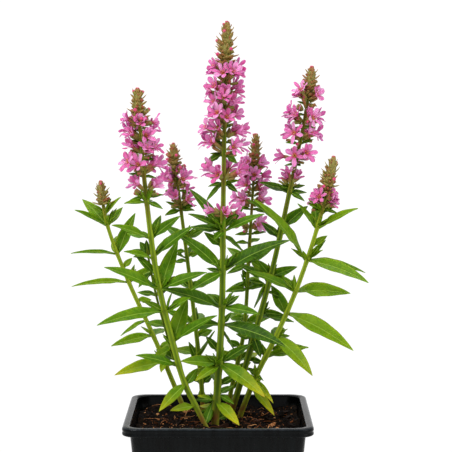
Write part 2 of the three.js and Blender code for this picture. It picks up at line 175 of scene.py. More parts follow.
def ring_faces(rings, size, cap_start=True, cap_end=True):
    """Faces of a tube over rings of points that run counter-clockwise about its direction."""
    faces = []
    for r in range(rings - 1):
        for i in range(size):
            a, b = r * size + i, r * size + (i + 1) % size
            faces.append([a, b, b + size, a + size])
    if cap_start:
        faces.append(list(range(size))[::-1])
    if cap_end:
        faces.append([(rings - 1) * size + i for i in range(size)])
    return faces


def rounded_square(half, radius):
    """Points, outward directions and distances from the middle of the side, all the way round."""
    flat = half - radius
    points, outward, reach = [], [], []
    for quarter in range(4):
        turn = math.pi / 2 * quarter
        spin = np.array([[math.cos(turn), -math.sin(turn)], [math.sin(turn), math.cos(turn)]])
        for step in range(pot_side_steps):
            y = flat * (2 * step / pot_side_steps - 1)
            points.append(spin @ [half, y])
            outward.append(spin @ [1, 0])
            reach.append(abs(y) / flat)
        for step in range(pot_corner_steps):
            angle = math.pi / 2 * step / pot_corner_steps
            way = np.array([math.cos(angle), math.sin(angle)])
            points.append(spin @ ([flat, flat] + radius * way))
            outward.append(spin @ way)
            reach.append(1.0)
    return np.array(points), np.array(outward), np.array(reach)


def pot_half_width(height):
    """Half the pot's outer width below the rim, at a height."""
    return np.interp(height, [0, rim_foot], [pot_base_width / 2, pot_width / 2 - rim_step])


def quarter_round(half, height, radius, start):
    """Points of a rounded edge in the pot's section, from a start angle in degrees."""
    steps = [math.radians(start + 90 * i / 4) for i in range(5)]
    return [(half + radius * math.cos(a), height + radius * math.sin(a)) for a in steps]


lip = pot_width / 2
opening = lip - rim_step
pot_section = [
    *quarter_round(pot_half_width(0) - edge_round, edge_round, edge_round, -90),
    *[(pot_half_width(z), z) for z in np.linspace(pot_wall_start, pot_wall_end, pot_wall_rings)],
    (pot_half_width(rim_foot) + rim_fillet, rim_foot),
    *quarter_round(lip - edge_round, rim_foot + edge_round, edge_round, -90),
    *[(lip - depth, rim_foot + rise) for rise, depth in rim_groove],
    *quarter_round(lip - rim_round, pot_height - rim_round, rim_round, 0),
    *quarter_round(opening + rim_round, pot_height - rim_round, rim_round, 90),
    (pot_half_width(rim_foot) - pot_wall_thickness, rim_foot - pot_wall_thickness),
    (pot_half_width(pot_floor) - pot_wall_thickness, pot_floor),
]
pot_mould = Gathering()
pot_rings, pot_scuffs = [], []
for half, height in pot_section:
    ribbed = edge_round < height < rim_foot and half > pot_half_width(height) - pot_wall_thickness / 2
    radius = pot_corner if half > opening else pot_inner_corner
    points, outward, reach = rounded_square(half, radius)
    along = reach * (half - radius)
    ridge = (0.5 + 0.5 * np.cos(2 * math.pi * along / pot_rib_spacing)) ** pot_rib_sharpness
    rib = pot_rib_height * ridge * (reach < pot_ribbed_share) * ribbed
    pot_rings.append(np.column_stack([points + outward * rib[:, None], np.full(len(points), height)]))
    # The outer edge of the rim's top is marked for a painted highlight line.
    on_edge = half > lip - rim_round and height > pot_height - scuffed_share * rim_round
    pot_scuffs.append(np.full(len(points), 1.0 if on_edge else 0.0))
pot_mould.add(np.vstack(pot_rings), ring_faces(len(pot_rings), len(pot_rings[0])),
              scuff=np.concatenate(pot_scuffs))

pot_plastic, tree, shader = new_material("polypropylene_moulded_satin")
# Moulded polypropylene: black all through, with a satin skin whose fine grain spreads the light
# into a soft sheen, and a thin grey line along the outer edge of the rim, which is a painted
# highlight. The real grain is too fine to show here, so it is drawn coarser.
place = add_node(tree, "TexCoord").outputs["Object"]
grain = add_node(tree, "TexNoise", {"Vector": place, "Scale": 1 / (pot_grain_mm * mm), "Detail": 2.0})
drag = add_node(tree, "Mapping", {"Vector": place, "Scale": [1 / (size * mm) for size in pot_streak_mm]})
streaks = add_node(tree, "TexNoise", {"Vector": drag, "Scale": 1.0, "Detail": 3.0})
# The black is drawn a little lighter in long vertical streaks.
streaked_black = add_node(tree, "ValToRGB", {"Fac": streaks}, stops=[(0.35, pot_black), (0.75, pot_streak_black)])
# A painted highlight: a lighter grey along the rim's outer edge, broken up by the streaks.
scuff = add_node(tree, "Attribute", attribute_name="scuff").outputs["Fac"]
streaked_highlight = add_node(tree, "Math", {0: scuff, 1: streaks}, operation="MULTIPLY")
skin = add_node(tree, "Mix", {0: streaked_highlight, "A": streaked_black, "B": rim_scuffed}, data_type="RGBA")
gloss = add_node(tree, "MapRange", {"Value": streaks,
                                    "To Min": pot_roughness[0], "To Max": pot_roughness[1]})
dimple = add_node(tree, "Bump", {"Height": grain, "Strength": 0.25, "Distance": 0.2 * mm})
feed(tree, shader, {"Base Color": skin, "Roughness": gloss,
                    "Normal": dimple, "IOR": 1.49, "Specular IOR Level": 0.08})

pot = pot_mould.piece("nursery_pot", pot_plastic, "pot", "pot")
for x, y in ((-1, -1), (-1, 1), (1, -1), (1, 1)):
    bpy.ops.mesh.primitive_cylinder_add(
        vertices=drain_hole_sides, radius=drain_hole_radius * mm, depth=4 * pot_floor * mm,
        location=(x * drain_hole_spacing / 2 * mm, y * drain_hole_spacing / 2 * mm, 0))
    drill = bpy.context.object
    cut = pot.modifiers.new("drain_hole", "BOOLEAN")
    cut.operation = "DIFFERENCE"
    cut.object = drill
    graph = bpy.context.evaluated_depsgraph_get()
    drilled = bpy.data.meshes.new_from_object(pot.evaluated_get(graph))
    pot.modifiers.clear()
    pot.data = drilled
    bpy.data.objects.remove(drill)


# The growing medium is dark peat and composted bark, tipped in and shaken level. It is loose
# and crumbly, and damp enough to be nearly black between its lumps.
soil_height = 125.0
soil_bump = 2.2
soil_ripple_per_mm = 0.11
soil_gap = 0.35
soil_steps = 170
soil_lumps = [(9.0, 1.1), (3.6, 0.9), (1.5, 0.55)]
peat_shades = [(0.36, "#040202"), (0.56, "#0E0804"), (0.74, "#24160A"), (0.88, "#62401F")]
peat_crumb_mm = 2.2


def soil_top(x, y):
    """The height of the compost before its crumbs, as in the CAD."""
    lumps = math.sin(x * soil_ripple_per_mm) * math.cos(y * soil_ripple_per_mm)
    return soil_height + soil_bump * (lumps + 0.5 * math.sin((x + y) * 2 * soil_ripple_per_mm))


def crumbled(x, y):
    """The height of the compost with its lumps and crumbs."""
    rough = sum(size * noise.noise(Vector((x / width, y / width, width))) for width, size in soil_lumps)
    return soil_top(x, y) + rough


soil_half = pot_half_width(soil_height) - pot_wall_thickness - soil_gap
soil_foot = pot_floor + soil_gap
soil_foot_half = pot_half_width(soil_foot) - pot_wall_thickness - soil_gap
last = soil_steps - 1
top = []
for row in range(soil_steps):
    for column in range(soil_steps):
        spot = (np.array([column, row]) / last * 2 - 1) * soil_half
        over = np.abs(spot) - (soil_half - pot_inner_corner)
        if (over > 0).all():
            inset = over * over.max() / np.linalg.norm(over)
            spot = np.sign(spot) * (soil_half - pot_inner_corner + inset)
        top.append([*spot, crumbled(*spot)])
below = soil_steps * soil_steps
edge = (list(range(last)) + [last + i * soil_steps for i in range(last)]
        + [below - 1 - i for i in range(last)] + [(last - i) * soil_steps for i in range(last)])
shrink = soil_foot_half / soil_half
foot = [[top[i][0] * shrink, top[i][1] * shrink, soil_foot] for i in edge]
corners = [row * soil_steps + column for row in range(last) for column in range(last)]
faces = [[c, c + 1, c + soil_steps + 1, c + soil_steps] for c in corners]
faces += [[b, a, below + i, below + (i + 1) % len(edge)]
          for i, (a, b) in enumerate(zip(edge, edge[1:] + edge[:1]))]
faces.append([below + i for i in range(len(edge))][::-1])
compost = Gathering()
compost.add(np.array(top + foot), faces)

peat, tree, shader = new_material("peat_and_composted_bark_loose")
# Damp peat: matt, near black in its pits, with brown crumbs and a few lighter fibres.
place = add_node(tree, "TexCoord").outputs["Object"]
warp = add_node(tree, "TexNoise", {"Vector": place, "Scale": 1 / (4 * peat_crumb_mm * mm), "Detail": 4.0})
crumbs = add_node(tree, "TexVoronoi", {"Vector": place, "Scale": 1 / (peat_crumb_mm * mm)})
shade = add_node(tree, "Mix", {0: 0.5, "A": warp, "B": crumbs.outputs["Color"]}, data_type="FLOAT")
brown = add_node(tree, "ValToRGB", {"Fac": shade}, stops=peat_shades)
pits = add_node(tree, "Bump", {"Height": crumbs.outputs["Distance"], "Strength": 0.8,
                               "Distance": 0.8 * mm}, invert=True)
feed(tree, shader, {"Base Color": brown, "Normal": pits, "Roughness": 0.85, "Specular IOR Level": 0.05})
compost.piece("compost", peat, "soil", "soil")


# Bark chips, crumbs and fibres lie on the compost and half in it: splinters and strands of pine
# bark, torn by a shredder, orange-brown where they broke and dark where they weathered.
chip_count = 170
crumb_count = 1900
chip_spread = 124.0
chip_length = (3.0, 13.0)
crumb_length = (0.8, 2.8)
chip_slimness = (0.1, 0.42)
chip_least_width = 0.5
chip_thickness = (0.09, 0.24)
chip_least_thickness = 0.3
chip_tilt = 28.0
chip_corners = 6
chip_corner_shift = 0.3
chip_corner_reach = (0.75, 1.1)
chip_roughness = 0.2
chip_top_share = 0.85
chip_rise_share = 0.15
chip_least_rise = 0.2
chip_darkness = 3
crumb_darkness = 2.2
fibre_count = 95
fibre_length = (6.0, 24.0)
fibre_radius = (0.14, 0.34)
fibre_bend = 1.7
fibre_arch = (0.3, 2.2)
fibre_stations = 9
fibre_margin = 6.0
fibre_end_share = 0.3
fibre_shades = (0.5, 1.05)
bark_shades = [(0.0, "#0C0704"), (0.5, "#2C170C"), (0.78, "#74401E"), (1.0, "#CF9462")]
bark_streak_mm = 1.111


def splinter(length, width, thickness, chance):
    """A flat, broken flake with uneven corners."""
    shift = chance.uniform(-chip_corner_shift, chip_corner_shift, chip_corners)
    turns = (np.arange(chip_corners) + shift) * 2 * math.pi / chip_corners
    outline = np.column_stack([np.cos(turns) * length / 2, np.sin(turns) * width / 2])
    outline *= chance.uniform(*chip_corner_reach, (chip_corners, 1))
    low = np.column_stack([outline, np.full(chip_corners, -thickness / 2)])
    rough = chance.uniform(-chip_roughness, chip_roughness, chip_corners)
    high = np.column_stack([outline * chip_top_share, thickness / 2 + rough])
    return np.vstack([low, high])


def fibre(x, y, turn, length, radius, bend, arch):
    """A curved strand that comes out of the compost and goes back in, with four sides."""
    t = np.linspace(-0.5, 0.5, fibre_stations)
    way = turn + bend * t
    step = length / fibre_stations
    px, py = x + np.cumsum(np.cos(way)) * step, y + np.cumsum(np.sin(way)) * step
    pz = np.array([crumbled(*spot) for spot in zip(px, py)])
    pz = np.maximum(pz, pz.mean()) + arch * np.cos(math.pi * t)
    thick = radius * (fibre_end_share + (1 - fibre_end_share) * np.cos(math.pi * t))
    rings = [[[u - s * r, v + c * r, w], [u, v, w - r], [u + s * r, v - c * r, w], [u, v, w + r]]
             for u, v, w, r, s, c in zip(px, py, pz, thick, np.sin(way), np.cos(way))]
    return np.array(rings).reshape(-1, 3)


def mostly_short(span):
    """A random length between two limits, more often near the lower one."""
    return span[0] + (span[1] - span[0]) * chance.random() ** 2


chance = np.random.default_rng(5)
bark = Gathering()
for i in range(chip_count + crumb_count):
    chip = i < chip_count
    length = mostly_short(chip_length if chip else crumb_length)
    width = length * chance.uniform(*chip_slimness) + chip_least_width
    flake = splinter(length, width, length * chance.uniform(*chip_thickness) + chip_least_thickness, chance)
    tilt = np.radians(chance.uniform(-chip_tilt, chip_tilt, 2))
    turn = chance.uniform(0, 2 * math.pi)
    for angle, axis in ((tilt[0], "X"), (tilt[1], "Y"), (-turn, "Z")):
        flake = flake @ np.array(Matrix.Rotation(angle, 3, axis))
    x, y = chance.uniform(-chip_spread / 2, chip_spread / 2, 2)
    rise = chip_rise_share * length * math.sin(abs(tilt).max()) + chip_least_rise
    bark.add(flake + [x, y, crumbled(x, y) + rise], ring_faces(2, chip_corners),
             shade=chance.random() ** (chip_darkness if chip else crumb_darkness))
for _ in range(fibre_count):
    length = mostly_short(fibre_length)
    x, y = chance.uniform(fibre_margin - chip_spread / 2, chip_spread / 2 - fibre_margin, 2)
    turn = chance.uniform(0, 2 * math.pi)
    strand = fibre(x - length / 2 * math.cos(turn), y - length / 2 * math.sin(turn), turn, length,
                   chance.uniform(*fibre_radius), chance.uniform(-fibre_bend, fibre_bend),
                   chance.uniform(*fibre_arch))
    if np.abs(strand[:, :2]).max() < chip_spread / 2:
        bark.add(strand, ring_faces(fibre_stations, 4), shade=chance.uniform(*fibre_shades))

bark_wood, tree, shader = new_material("pine_bark_split")
# Split bark: dry and matt, and each flake has its own brown, with streaks of its fibres.
place = add_node(tree, "TexCoord").outputs["Object"]
own = add_node(tree, "Attribute", attribute_name="shade").outputs["Fac"]
fibres = add_node(tree, "TexNoise", {"Vector": place, "Scale": 1 / (bark_streak_mm * mm), "Detail": 3.0})
shift = add_node(tree, "MapRange", {"Value": fibres, "To Min": -0.25, "To Max": 0.25})
tone = add_node(tree, "Math", {0: own, 1: shift}, operation="ADD")
brown = add_node(tree, "ValToRGB", {"Fac": tone}, stops=bark_shades)
feed(tree, shader, {"Base Color": brown, "Roughness": 0.75, "Specular IOR Level": 0.1})
flakes = bark.piece("bark_chips", bark_wood, "soil")
flakes.data.shade_flat()


# Stems are the square green stalks of a moisture-loving perennial, ridged at their four corners
# and swollen where a pair of leaves sits. All seven grow out of one crown under the compost.

# Each row of leaves is [height, heading, length, lift, width], and each whorl of flowers is
# [height, number, reach, size, heading, least tilt]. A heading of 0 degrees points to +X and -90
# to the front. "pale" says how sunlit a plant's green is, "petal_painted_light" how much lighter
# its petals are painted, a painted light that makes up for the shade the back spikes stand in, and
# "foot" how much it slims at its foot. "small_leaves" and "side_shoot" are in the looks alone.
plants = [
    {
        "name": "far_left",
        "pale": 0.75,
        "girth": 0.75,
        "seed": 11,
        "path": [[-20, 40, 106], [-34, 42, 140], [-55, 37, 192], [-75, 31, 238], [-92, 25, 286],
            [-98, 20, 324]],
        "spike_foot": 303,
        "cone_foot": 303,
        "cone_radius": 6.2,
        "whorls": [],
        "leaves": [
            [296, -15, 19, 46, 6], [296, 165, 15, 30, 5],
            [286, 140, 35, 35, 11], [286, -150, 32, 25, 8], [286, -35, 22, 45, 6], [286, 60, 26, 30, 8],
            [262, -150, 42, 3, 5], [262, 40, 38, 60, 11], [262, 95, 34, 20, 10],
            [238, -150, 52, -1, 6.5], [238, 45, 40, 15, 10],
            [192, -155, 38, -10, 10], [192, 75, 36, 0, 10],
            [169, -172, 43, -14, 12], [169, -100, 14, -30, 6],
        ],
        "small_leaves": [
            [250, 30, 11, 43, 6], [222, 20, 12, -2, 7], [205, 160, 27, -33, 6],
            [180, 20, 13, 32, 7], [165, 60, 16, 5, 6],
        ],
    },
    {
        "name": "left",
        "pale": 0.5,
        "girth": 1.05,
        "foot": 0.66,
        "seed": 23,
        "path": [[0, -21, 106], [-9.5, -20, 125], [-19.5, -19, 145], [-27.5, -19, 162],
            [-37, -19, 196], [-49, -18, 247], [-58, -17, 315], [-65, -15, 400]],
        "spike_foot": 312,
        "cone_foot": 379,
        "cone_radius": 6.6,
        "whorls": [
            [314, 4, 15, 0.95, 190, 26], [331, 6, 15, 1.05, 210, 14], [344, 5, 14, 1, -20, 14],
            [356, 5, 14, 1, 166, 18], [367, 4, 12, 0.9, -40, 14],
        ],
        "leaves": [
            [308, -146, 20, -2, 6], [308, -34, 16, -20, 5], [308, 80, 18, 0, 6],
            [279, -150, 36, 19, 10], [279, 143, 24, 5, 8], [279, 70, 26, 40, 8], [279, 25, 30, 35, 9],
            [265, -5, 40, 37, 11], [263, -144, 28, 13, 8],
            [238, -155, 50, 22, 13], [238, 42, 42, 63, 13], [238, -18, 42, 20, 11],
            [220, -150, 60, -8, 12], [220, 164, 20, 24, 6], [220, -30, 26, 28, 12],
            [196, 45, 36, 63, 14], [196, -20, 44, 31, 11], [190, 155, 22, -30, 12],
            [176, -154, 38, 16, 10],
            [160, -137, 32, -36, 10], [143, -150, 22, -5, 8],
        ],
        "small_leaves": [
            [207, 130, 28, 2, 10], [250, 160, 24, 40, 7], [180, 140, 23, 15, 10],
            [128, 60, 20, 54, 8], [160, 40, 17, 45, 8],
        ],
        "side_shoot": {
            "pale": 0.3,
            "girth": 0.45,
            "path": [[-36, -18, 180], [-40.7, -13, 197], [-50.3, -11, 232], [-56.6, -11, 264],
                [-57.4, -11, 270]],
            "spike_foot": 268,
            "whorls": [],
            "leaves": [
                [232, 160, 16, 5, 6], [232, 20, 12, 30, 6], [250, 170, 16, -50, 8],
                [264, 175, 15, 15, 8], [264, -160, 12, -5, 6], [264, 60, 12, 50, 6], [266, 130, 13, 40, 7],
                [266, 110, 11, 70, 5],
            ],
        },
    },
    {
        "name": "centre",
        "pale": 0.33,
        "girth": 1.18,
        "seed": 37,
        "path": [[-4, -10, 106], [-1, -10, 150], [3, -9, 220], [4, -7, 300], [5.5, -6, 389], [7.5, -5, 453]],
        "spike_foot": 292,
        "cone_foot": 424,
        "cone_radius": 7.4,
        "whorls": [
            [295, 4, 12, 0.85, -30, 10], [325, 6, 16, 1.05, 200, 18], [347, 5, 17, 1, 165, 12],
            [358, 6, 17, 1, 15, 14], [369, 6, 17, 1, 240, 14], [380, 6, 17, 1, 265, 14],
            [391, 6, 15, 1, 225, 14], [402, 5, 15, 1, 300, 18], [409, 4, 12, 0.9, 160, 20],
        ],
        "leaves": [
            [286, 146, 45, 44, 9], [286, -155, 32, 22, 9], [284, 170, 26, 5, 8], [283, -110, 20, -15, 7],
            [286, 36, 26, 40, 8], [284, -12, 36, 22, 9], [271, 155, 19, 35, 8],
            [252, 158, 50, 36, 11.5], [252, -10, 60, 25, 14], [252, 40, 30, 30, 9], [250, -140, 34, -22, 10],
            [222, -162, 52, 18, 14], [222, -36, 36, -6, 10], [222, 36, 18, 26, 6], [222, 110, 36, 10, 12],
            [208, 172, 34, -8, 10], [208, -24, 58, -15, 14], [280, 30, 23, -39, 8],
            [176, -158, 32, 6, 12], [176, 28, 32, 26, 9], [176, -41, 52, -26, 14], [174, -125, 32, -15, 9],
            [176, 120, 34, 0, 10],
            [146, -143, 18, 17, 6], [144, -50, 31, -29, 10], [172, 165, 27, -18, 8], [139, 120, 26, -6, 8],
            [160, 100, 39, 8, 7],
        ],
        "small_leaves": [
            [146, 170, 16, -3, 7], [203, 40, 24, -55, 6], [130, 30, 12, 14, 7],
            [150, 60, 25, 8, 7], [186, 150, 16, 43, 7], [250, 150, 14, 10, 5], [208, 50, 14, 36, 5],
            [322, 170, 20, -48, 6], [322, 10, 13, -35, 7], [346, 175, 17, -30, 7],
            [345, 10, 12, -35, 8], [136, 185, 14, -12, 8], [158, 20, 17, 25, 7], [150, -10, 14, -30, 6],
        ],
    },
    {
        "name": "back_left",
        "pale": 0.4,
        "petal_painted_light": 0.25,
        "girth": 0.78,
        "seed": 41,
        "path": [[-12, 46, 106], [-15, 45, 155], [-21, 47, 211], [-30, 48, 284], [-39, 50, 354]],
        "spike_foot": 299,
        "cone_foot": 338,
        "cone_radius": 5.2,
        "whorls": [
            [301, 5, 12, 0.95, 190, 26], [316, 5, 12, 1, 170, 28], [325, 3, 7, 0.7, 250, 22],
        ],
        "leaves": [
            [297, -146, 16, -15, 6], [297, -38, 14, 0, 5],
            [272, 30, 22, 24, 8], [272, 130, 28, 20, 9], [272, -60, 16, 30, 6],
            [257, 75, 30, 15, 9], [257, -128, 14, 15, 6],
            [230, 110, 38, 10, 12], [230, 15, 26, 25, 9],
            [200, 85, 42, 5, 13], [200, 170, 28, 25, 9],
            [174, -50, 31, 49, 11], [174, 125, 38, 0, 12], [166, 150, 21, 63, 7],
        ],
        "small_leaves": [
            [262, 180, 9, -6, 5], [254, 175, 11, -8, 5], [258, 20, 9, 7, 6],
            [232, 10, 8, 33, 6], [232, 170, 8, 37, 5], [150, 160, 13, 40, 6],
            [150, 20, 11, 35, 7], [134, 100, 12, 60, 7], [190, 30, 15, 15, 9],
        ],
    },
    {
        "name": "back_right",
        "pale": 0.5,
        "petal_painted_light": 0.25,
        "girth": 0.75,
        "seed": 53,
        "path": [[6, 51, 106], [10, 50, 139], [21, 51, 190], [26, 53, 264], [32, 55, 362]],
        "spike_foot": 275,
        "cone_foot": 340,
        "cone_radius": 5.2,
        "whorls": [
            [279, 4, 13, 0.95, 0, 22], [300, 5, 14, 1, 185, 16], [311, 4, 12, 0.95, 10, 20],
            [321, 5, 13, 1, 230, 16], [331, 4, 11, 0.9, 15, 26],
        ],
        "leaves": [
            [269, -146, 14, 0, 5], [269, 60, 18, 5, 6],
            [252, 130, 30, 20, 9], [252, 30, 26, 25, 8],
            [230, -136, 24, -3, 9], [230, -38, 20, 11, 8], [230, 75, 36, 10, 12],
            [200, 110, 40, 5, 13], [200, 20, 30, 15, 10],
            [168, 65, 42, 0, 13], [168, 140, 26, 15, 9],
        ],
        "small_leaves": [
            [236, 180, 21, -27, 4], [234, 190, 15, -33, 5], [236, 10, 15, -11, 7],
            [250, 185, 19, -25, 7], [254, 0, 15, -36, 8], [238, 150, 9, 60, 5],
            [205, 180, 11, -3, 6], [160, 20, 14, 26, 7], [180, 160, 13, 23, 7],
            [145, 20, 14, 24, 7],
        ],
    },
    {
        "name": "right",
        "pale": 0.3,
        "girth": 1,
        "seed": 67,
        "path": [[3, 39, 106], [13, 36, 134], [31, 32, 196], [45, 29, 249], [59, 26, 314], [71.5, 22, 377],
            [77.5, 20, 418]],
        "spike_foot": 317,
        "cone_foot": 400,
        "cone_radius": 6.6,
        "whorls": [
            [319, 4, 11, 0.85, 10, 42], [339, 5, 14, 1.05, 300, 12], [356, 5, 14, 1, 20, 14],
            [369, 5, 14, 1, 170, 18], [380, 0, 12, 1, 20, 25], [388, 4, 12, 0.9, 10, 20],
        ],
        "leaves": [
            [313, 154, 28, 16, 8], [313, 37, 18, -4, 6], [313, -37, 16, -26, 5],
            [284, 27, 29, 36, 11], [286, -150, 40, 34, 10], [275, 140, 22, 34, 8], [277, 75, 34, 10, 10],
            [240, 60, 38, 10, 12], [240, 150, 30, 20, 9],
            [209, 35, 36, -13, 10], [236, 140, 26, -56, 13],
            [178, 75, 32, 5, 10], [243, 20, 24, 16, 9],
        ],
        "small_leaves": [
            [212, 0, 19, -7, 7], [244, 160, 16, 48, 8], [165, 0, 18, -39, 6],
            [172, 10, 13, -16, 7], [190, 170, 14, 14, 7], [230, 10, 17, -28, 6],
            [190, -60, 18, -55, 9],
        ],
    },
    {
        "name": "far_right",
        "pale": 0.75,
        "girth": 0.85,
        "seed": 79,
        "path": [[11, 31, 106], [30, 26, 156], [48, 21, 194], [64, 16, 232], [81, 8, 285],
            [95, 0, 345]],
        "spike_foot": 300,
        "cone_foot": 319,
        "cone_radius": 6.6,
        "whorls": [
            [303, 4, 11, 0.9, 200, 12], [308, 3, 10, 0.8, 170, 20],
        ],
        "leaves": [
            [298, -160, 14, 35, 5], [297, 20, 14, 30, 5],
            [285, -165, 26, 52, 8], [285, 97, 24, 50, 9], [285, -29, 40, 26, 10],
            [258, -160, 71, 48, 13.5], [258, -38, 62, -14, 12.5], [258, 0, 22, 49, 6], [258, 20, 54, -13, 8],
            [232, 10, 46, -4, 15], [232, -160, 46, 23, 10], [232, 134, 32, 25, 9],
            [213, -20, 64, -27, 15], [213, 119, 32, 41, 11],
            [193, -46, 50, -34, 13], [193, 23, 12, 0, 5], [193, 80, 36, 5, 12],
            [176, 25, 40, 7, 10], [176, 100, 18, 25, 6],
            [156, -55, 30, -32, 6], [152, 60, 14, 10, 5], [150, -45, 33, -40, 8],
        ],
        "small_leaves": [
            [270, 20, 15, 31, 7], [183, 10, 32, 0, 8],
        ],
    },
]
stem_foot_height = 106.0
stem_radius = 4.0
stem_top_radius = 2.6
rachis_tip_radius = 1.4
stem_joint_gap = 0.6
stem_sides = 20
stem_ring_gap = 3.0
stem_squareness = 5.0
stem_collar = (124.0, 148.0, 235.0)
stem_swelling = 0.16
stem_swelling_reach = 2.6
curve_steps = 24
stem_green = "#2E5004"
stem_ridge_highlight = "#98AC24"
stem_red = "#6E3A22"
red_at_foot = 1.3
red_foot_heights = [120.0, 152.0]
red_at_joint = 0.1
red_at_top = 0.45
red_top_length = 40.0
shoot_red = 0.1
sunned_lift = 0.75
stem_streak_mm = (0.8, 0.8, 16.67)
stem_blotch_mm = 8.333
stem_wrap_mm = 3.0


def unit(way):
    """A direction with a length of one."""
    return way / np.linalg.norm(way)


def stem_axis(path):
    """The smooth curve through a stem's path, as in the CAD: a centripetal Catmull-Rom spline."""
    p = np.array(path, float)
    ends = np.vstack([2 * p[0] - p[1], p, 2 * p[-1] - p[-2]])
    w = np.arange(curve_steps)[:, None] / curve_steps
    points = []
    for a, b, c, d in zip(ends, ends[1:], ends[2:], ends[3:]):
        ab, bc, cd = (np.linalg.norm(gap) ** 0.5 for gap in (b - a, c - b, d - c))
        leave = ((b - a) / ab - (c - a) / (ab + bc) + (c - b) / bc) * bc
        arrive = ((c - b) / bc - (d - b) / (bc + cd) + (d - c) / cd) * bc
        points.append(b + leave * w + (3 * (c - b) - 2 * leave - arrive) * w ** 2
                      + (2 * (b - c) + leave + arrive) * w ** 3)
    return np.vstack([*points, p[-1:]])


def axis_at(plant, height):
    """The point of a stem's axis at a height."""
    x, y, z = plant["axis"].T
    return np.array([np.interp(height, z, x), np.interp(height, z, y), height])


def stem_radius_at(plant, height):
    """Half a stem's width at a height. It thins upwards, and one of them is also slim at its foot."""
    heights = [stem_foot_height, plant["spike_foot"], plant["path"][-1][2]]
    foot = plant.get("foot", 1)
    foot = np.interp(height, stem_collar, [foot, (foot + 1) / 2, 1])
    radius = np.interp(height, heights, [stem_radius, stem_top_radius, rachis_tip_radius])
    return foot * plant["girth"] * radius


def stalk(gathering, plant, low, high, ruddy, slim=1.0):
    """A length of square stalk between two heights. ruddy gives the red tint at a height."""
    heights = np.append(np.arange(low, high - stem_ring_gap / 2, stem_ring_gap), high)
    joints = np.array([row[0] for row in plant["leaves"] + plant["whorls"]])
    turns = 2 * math.pi * np.arange(stem_sides) / stem_sides
    reach = (np.abs(np.cos(turns)) ** stem_squareness + np.abs(np.sin(turns)) ** stem_squareness)
    reach = reach ** (-1 / stem_squareness) / math.sqrt(2)
    ridge = (reach - reach.min()) / (reach.max() - reach.min())
    rings, tints = [], []
    for height in heights:
        along = unit(axis_at(plant, height + stem_ring_gap / 2) - axis_at(plant, height - stem_ring_gap / 2))
        across = unit(np.array([1.0, 0, 0]) - along[0] * along)
        near = np.exp(-(np.abs(joints - height).min() / stem_swelling_reach) ** 2)
        radius = stem_radius_at(plant, height) * slim * (1 + stem_swelling * near) * reach
        rings.append(axis_at(plant, height) + np.outer(radius * np.cos(turns), across)
                     + np.outer(radius * np.sin(turns), np.cross(along, across)))
        tints.append(np.full(stem_sides, min(1.0, ruddy(height) + red_at_joint * near)))
    count = len(heights)
    place = np.column_stack([np.tile(np.cos(turns), count) * stem_wrap_mm,
                             np.tile(np.sin(turns), count) * stem_wrap_mm,
                             np.repeat(heights, stem_sides)])
    gathering.add(np.vstack(rings), ring_faces(count, stem_sides), place=place,
                  ridge=np.tile(ridge, count), ruddy=np.concatenate(tints), pale=plant["pale"])


stem_skin, tree, shader = new_material("stem_skin_ribbed_green")
# Living skin: waxy and softly glossy, paler along the ridges than on the flats, which is a painted
# highlight and shade, and that highlight is streaked lengthwise by its fibres. It is tinted red at its
# foot, at its joints and below its flowers. The real fibres are finer, and their streaks are drawn
# just wide enough to show.
place = add_node(tree, "Attribute", attribute_name="place").outputs["Vector"]
ridge, ruddy, pale = (add_node(tree, "Attribute", attribute_name=name).outputs["Fac"]
                      for name in ("ridge", "ruddy", "pale"))
stretch = add_node(tree, "Mapping", {"Vector": place, "Scale": [1 / size for size in stem_streak_mm]})
streaks = add_node(tree, "TexNoise", {"Vector": stretch, "Scale": 1.0, "Detail": 3.0})
blotches = add_node(tree, "TexNoise", {"Vector": place, "Scale": 1 / stem_blotch_mm})
# The ridges are painted lighter than the flats: a painted highlight, streaked by the fibres.
lit = add_node(tree, "Math", {0: ridge, 1: streaks}, operation="MULTIPLY")
sunned = add_node(tree, "Math", {0: pale, 1: 2.0}, operation="POWER")
lift = add_node(tree, "Math", {0: sunned, 1: sunned_lift, 2: lit}, operation="MULTIPLY_ADD", use_clamp=True)
green = add_node(tree, "Mix", {0: lift, "A": stem_green, "B": stem_ridge_highlight}, data_type="RGBA")
reach = add_node(tree, "MapRange", {"Value": blotches, "From Min": 0.3, "From Max": 0.7})
blush = add_node(tree, "Math", {0: ruddy, 1: reach}, operation="MULTIPLY")
skin = add_node(tree, "Mix", {0: blush, "A": green, "B": stem_red}, data_type="RGBA")
feed(tree, shader, {"Base Color": skin, "Roughness": 0.45, "Specular IOR Level": 0.1,
                    "Subsurface Weight": 0.12, "Subsurface Radius": (0.6, 1.0, 0.3),
                    "Subsurface Scale": 1.0 * mm})

for plant in plants:
    plant["axis"] = stem_axis(plant["path"])
    stem = Gathering()
    top = plant["spike_foot"] - stem_joint_gap
    stalk(stem, plant, stem_foot_height, top,
          lambda z: (red_at_foot * np.interp(z, red_foot_heights, [1, 0])
                     + red_at_top * np.interp(z, [top - red_top_length, top], [0, 1])))
    if "side_shoot" in plant:
        shoot = plant["side_shoot"]
        shoot["axis"] = stem_axis(shoot["path"])
        stalk(stem, shoot, shoot["path"][0][2], shoot["path"][-1][2], lambda z: shoot_red)
    stem.piece("stalk_" + plant["name"], stem_skin, "leaf", "stem_" + plant["name"])


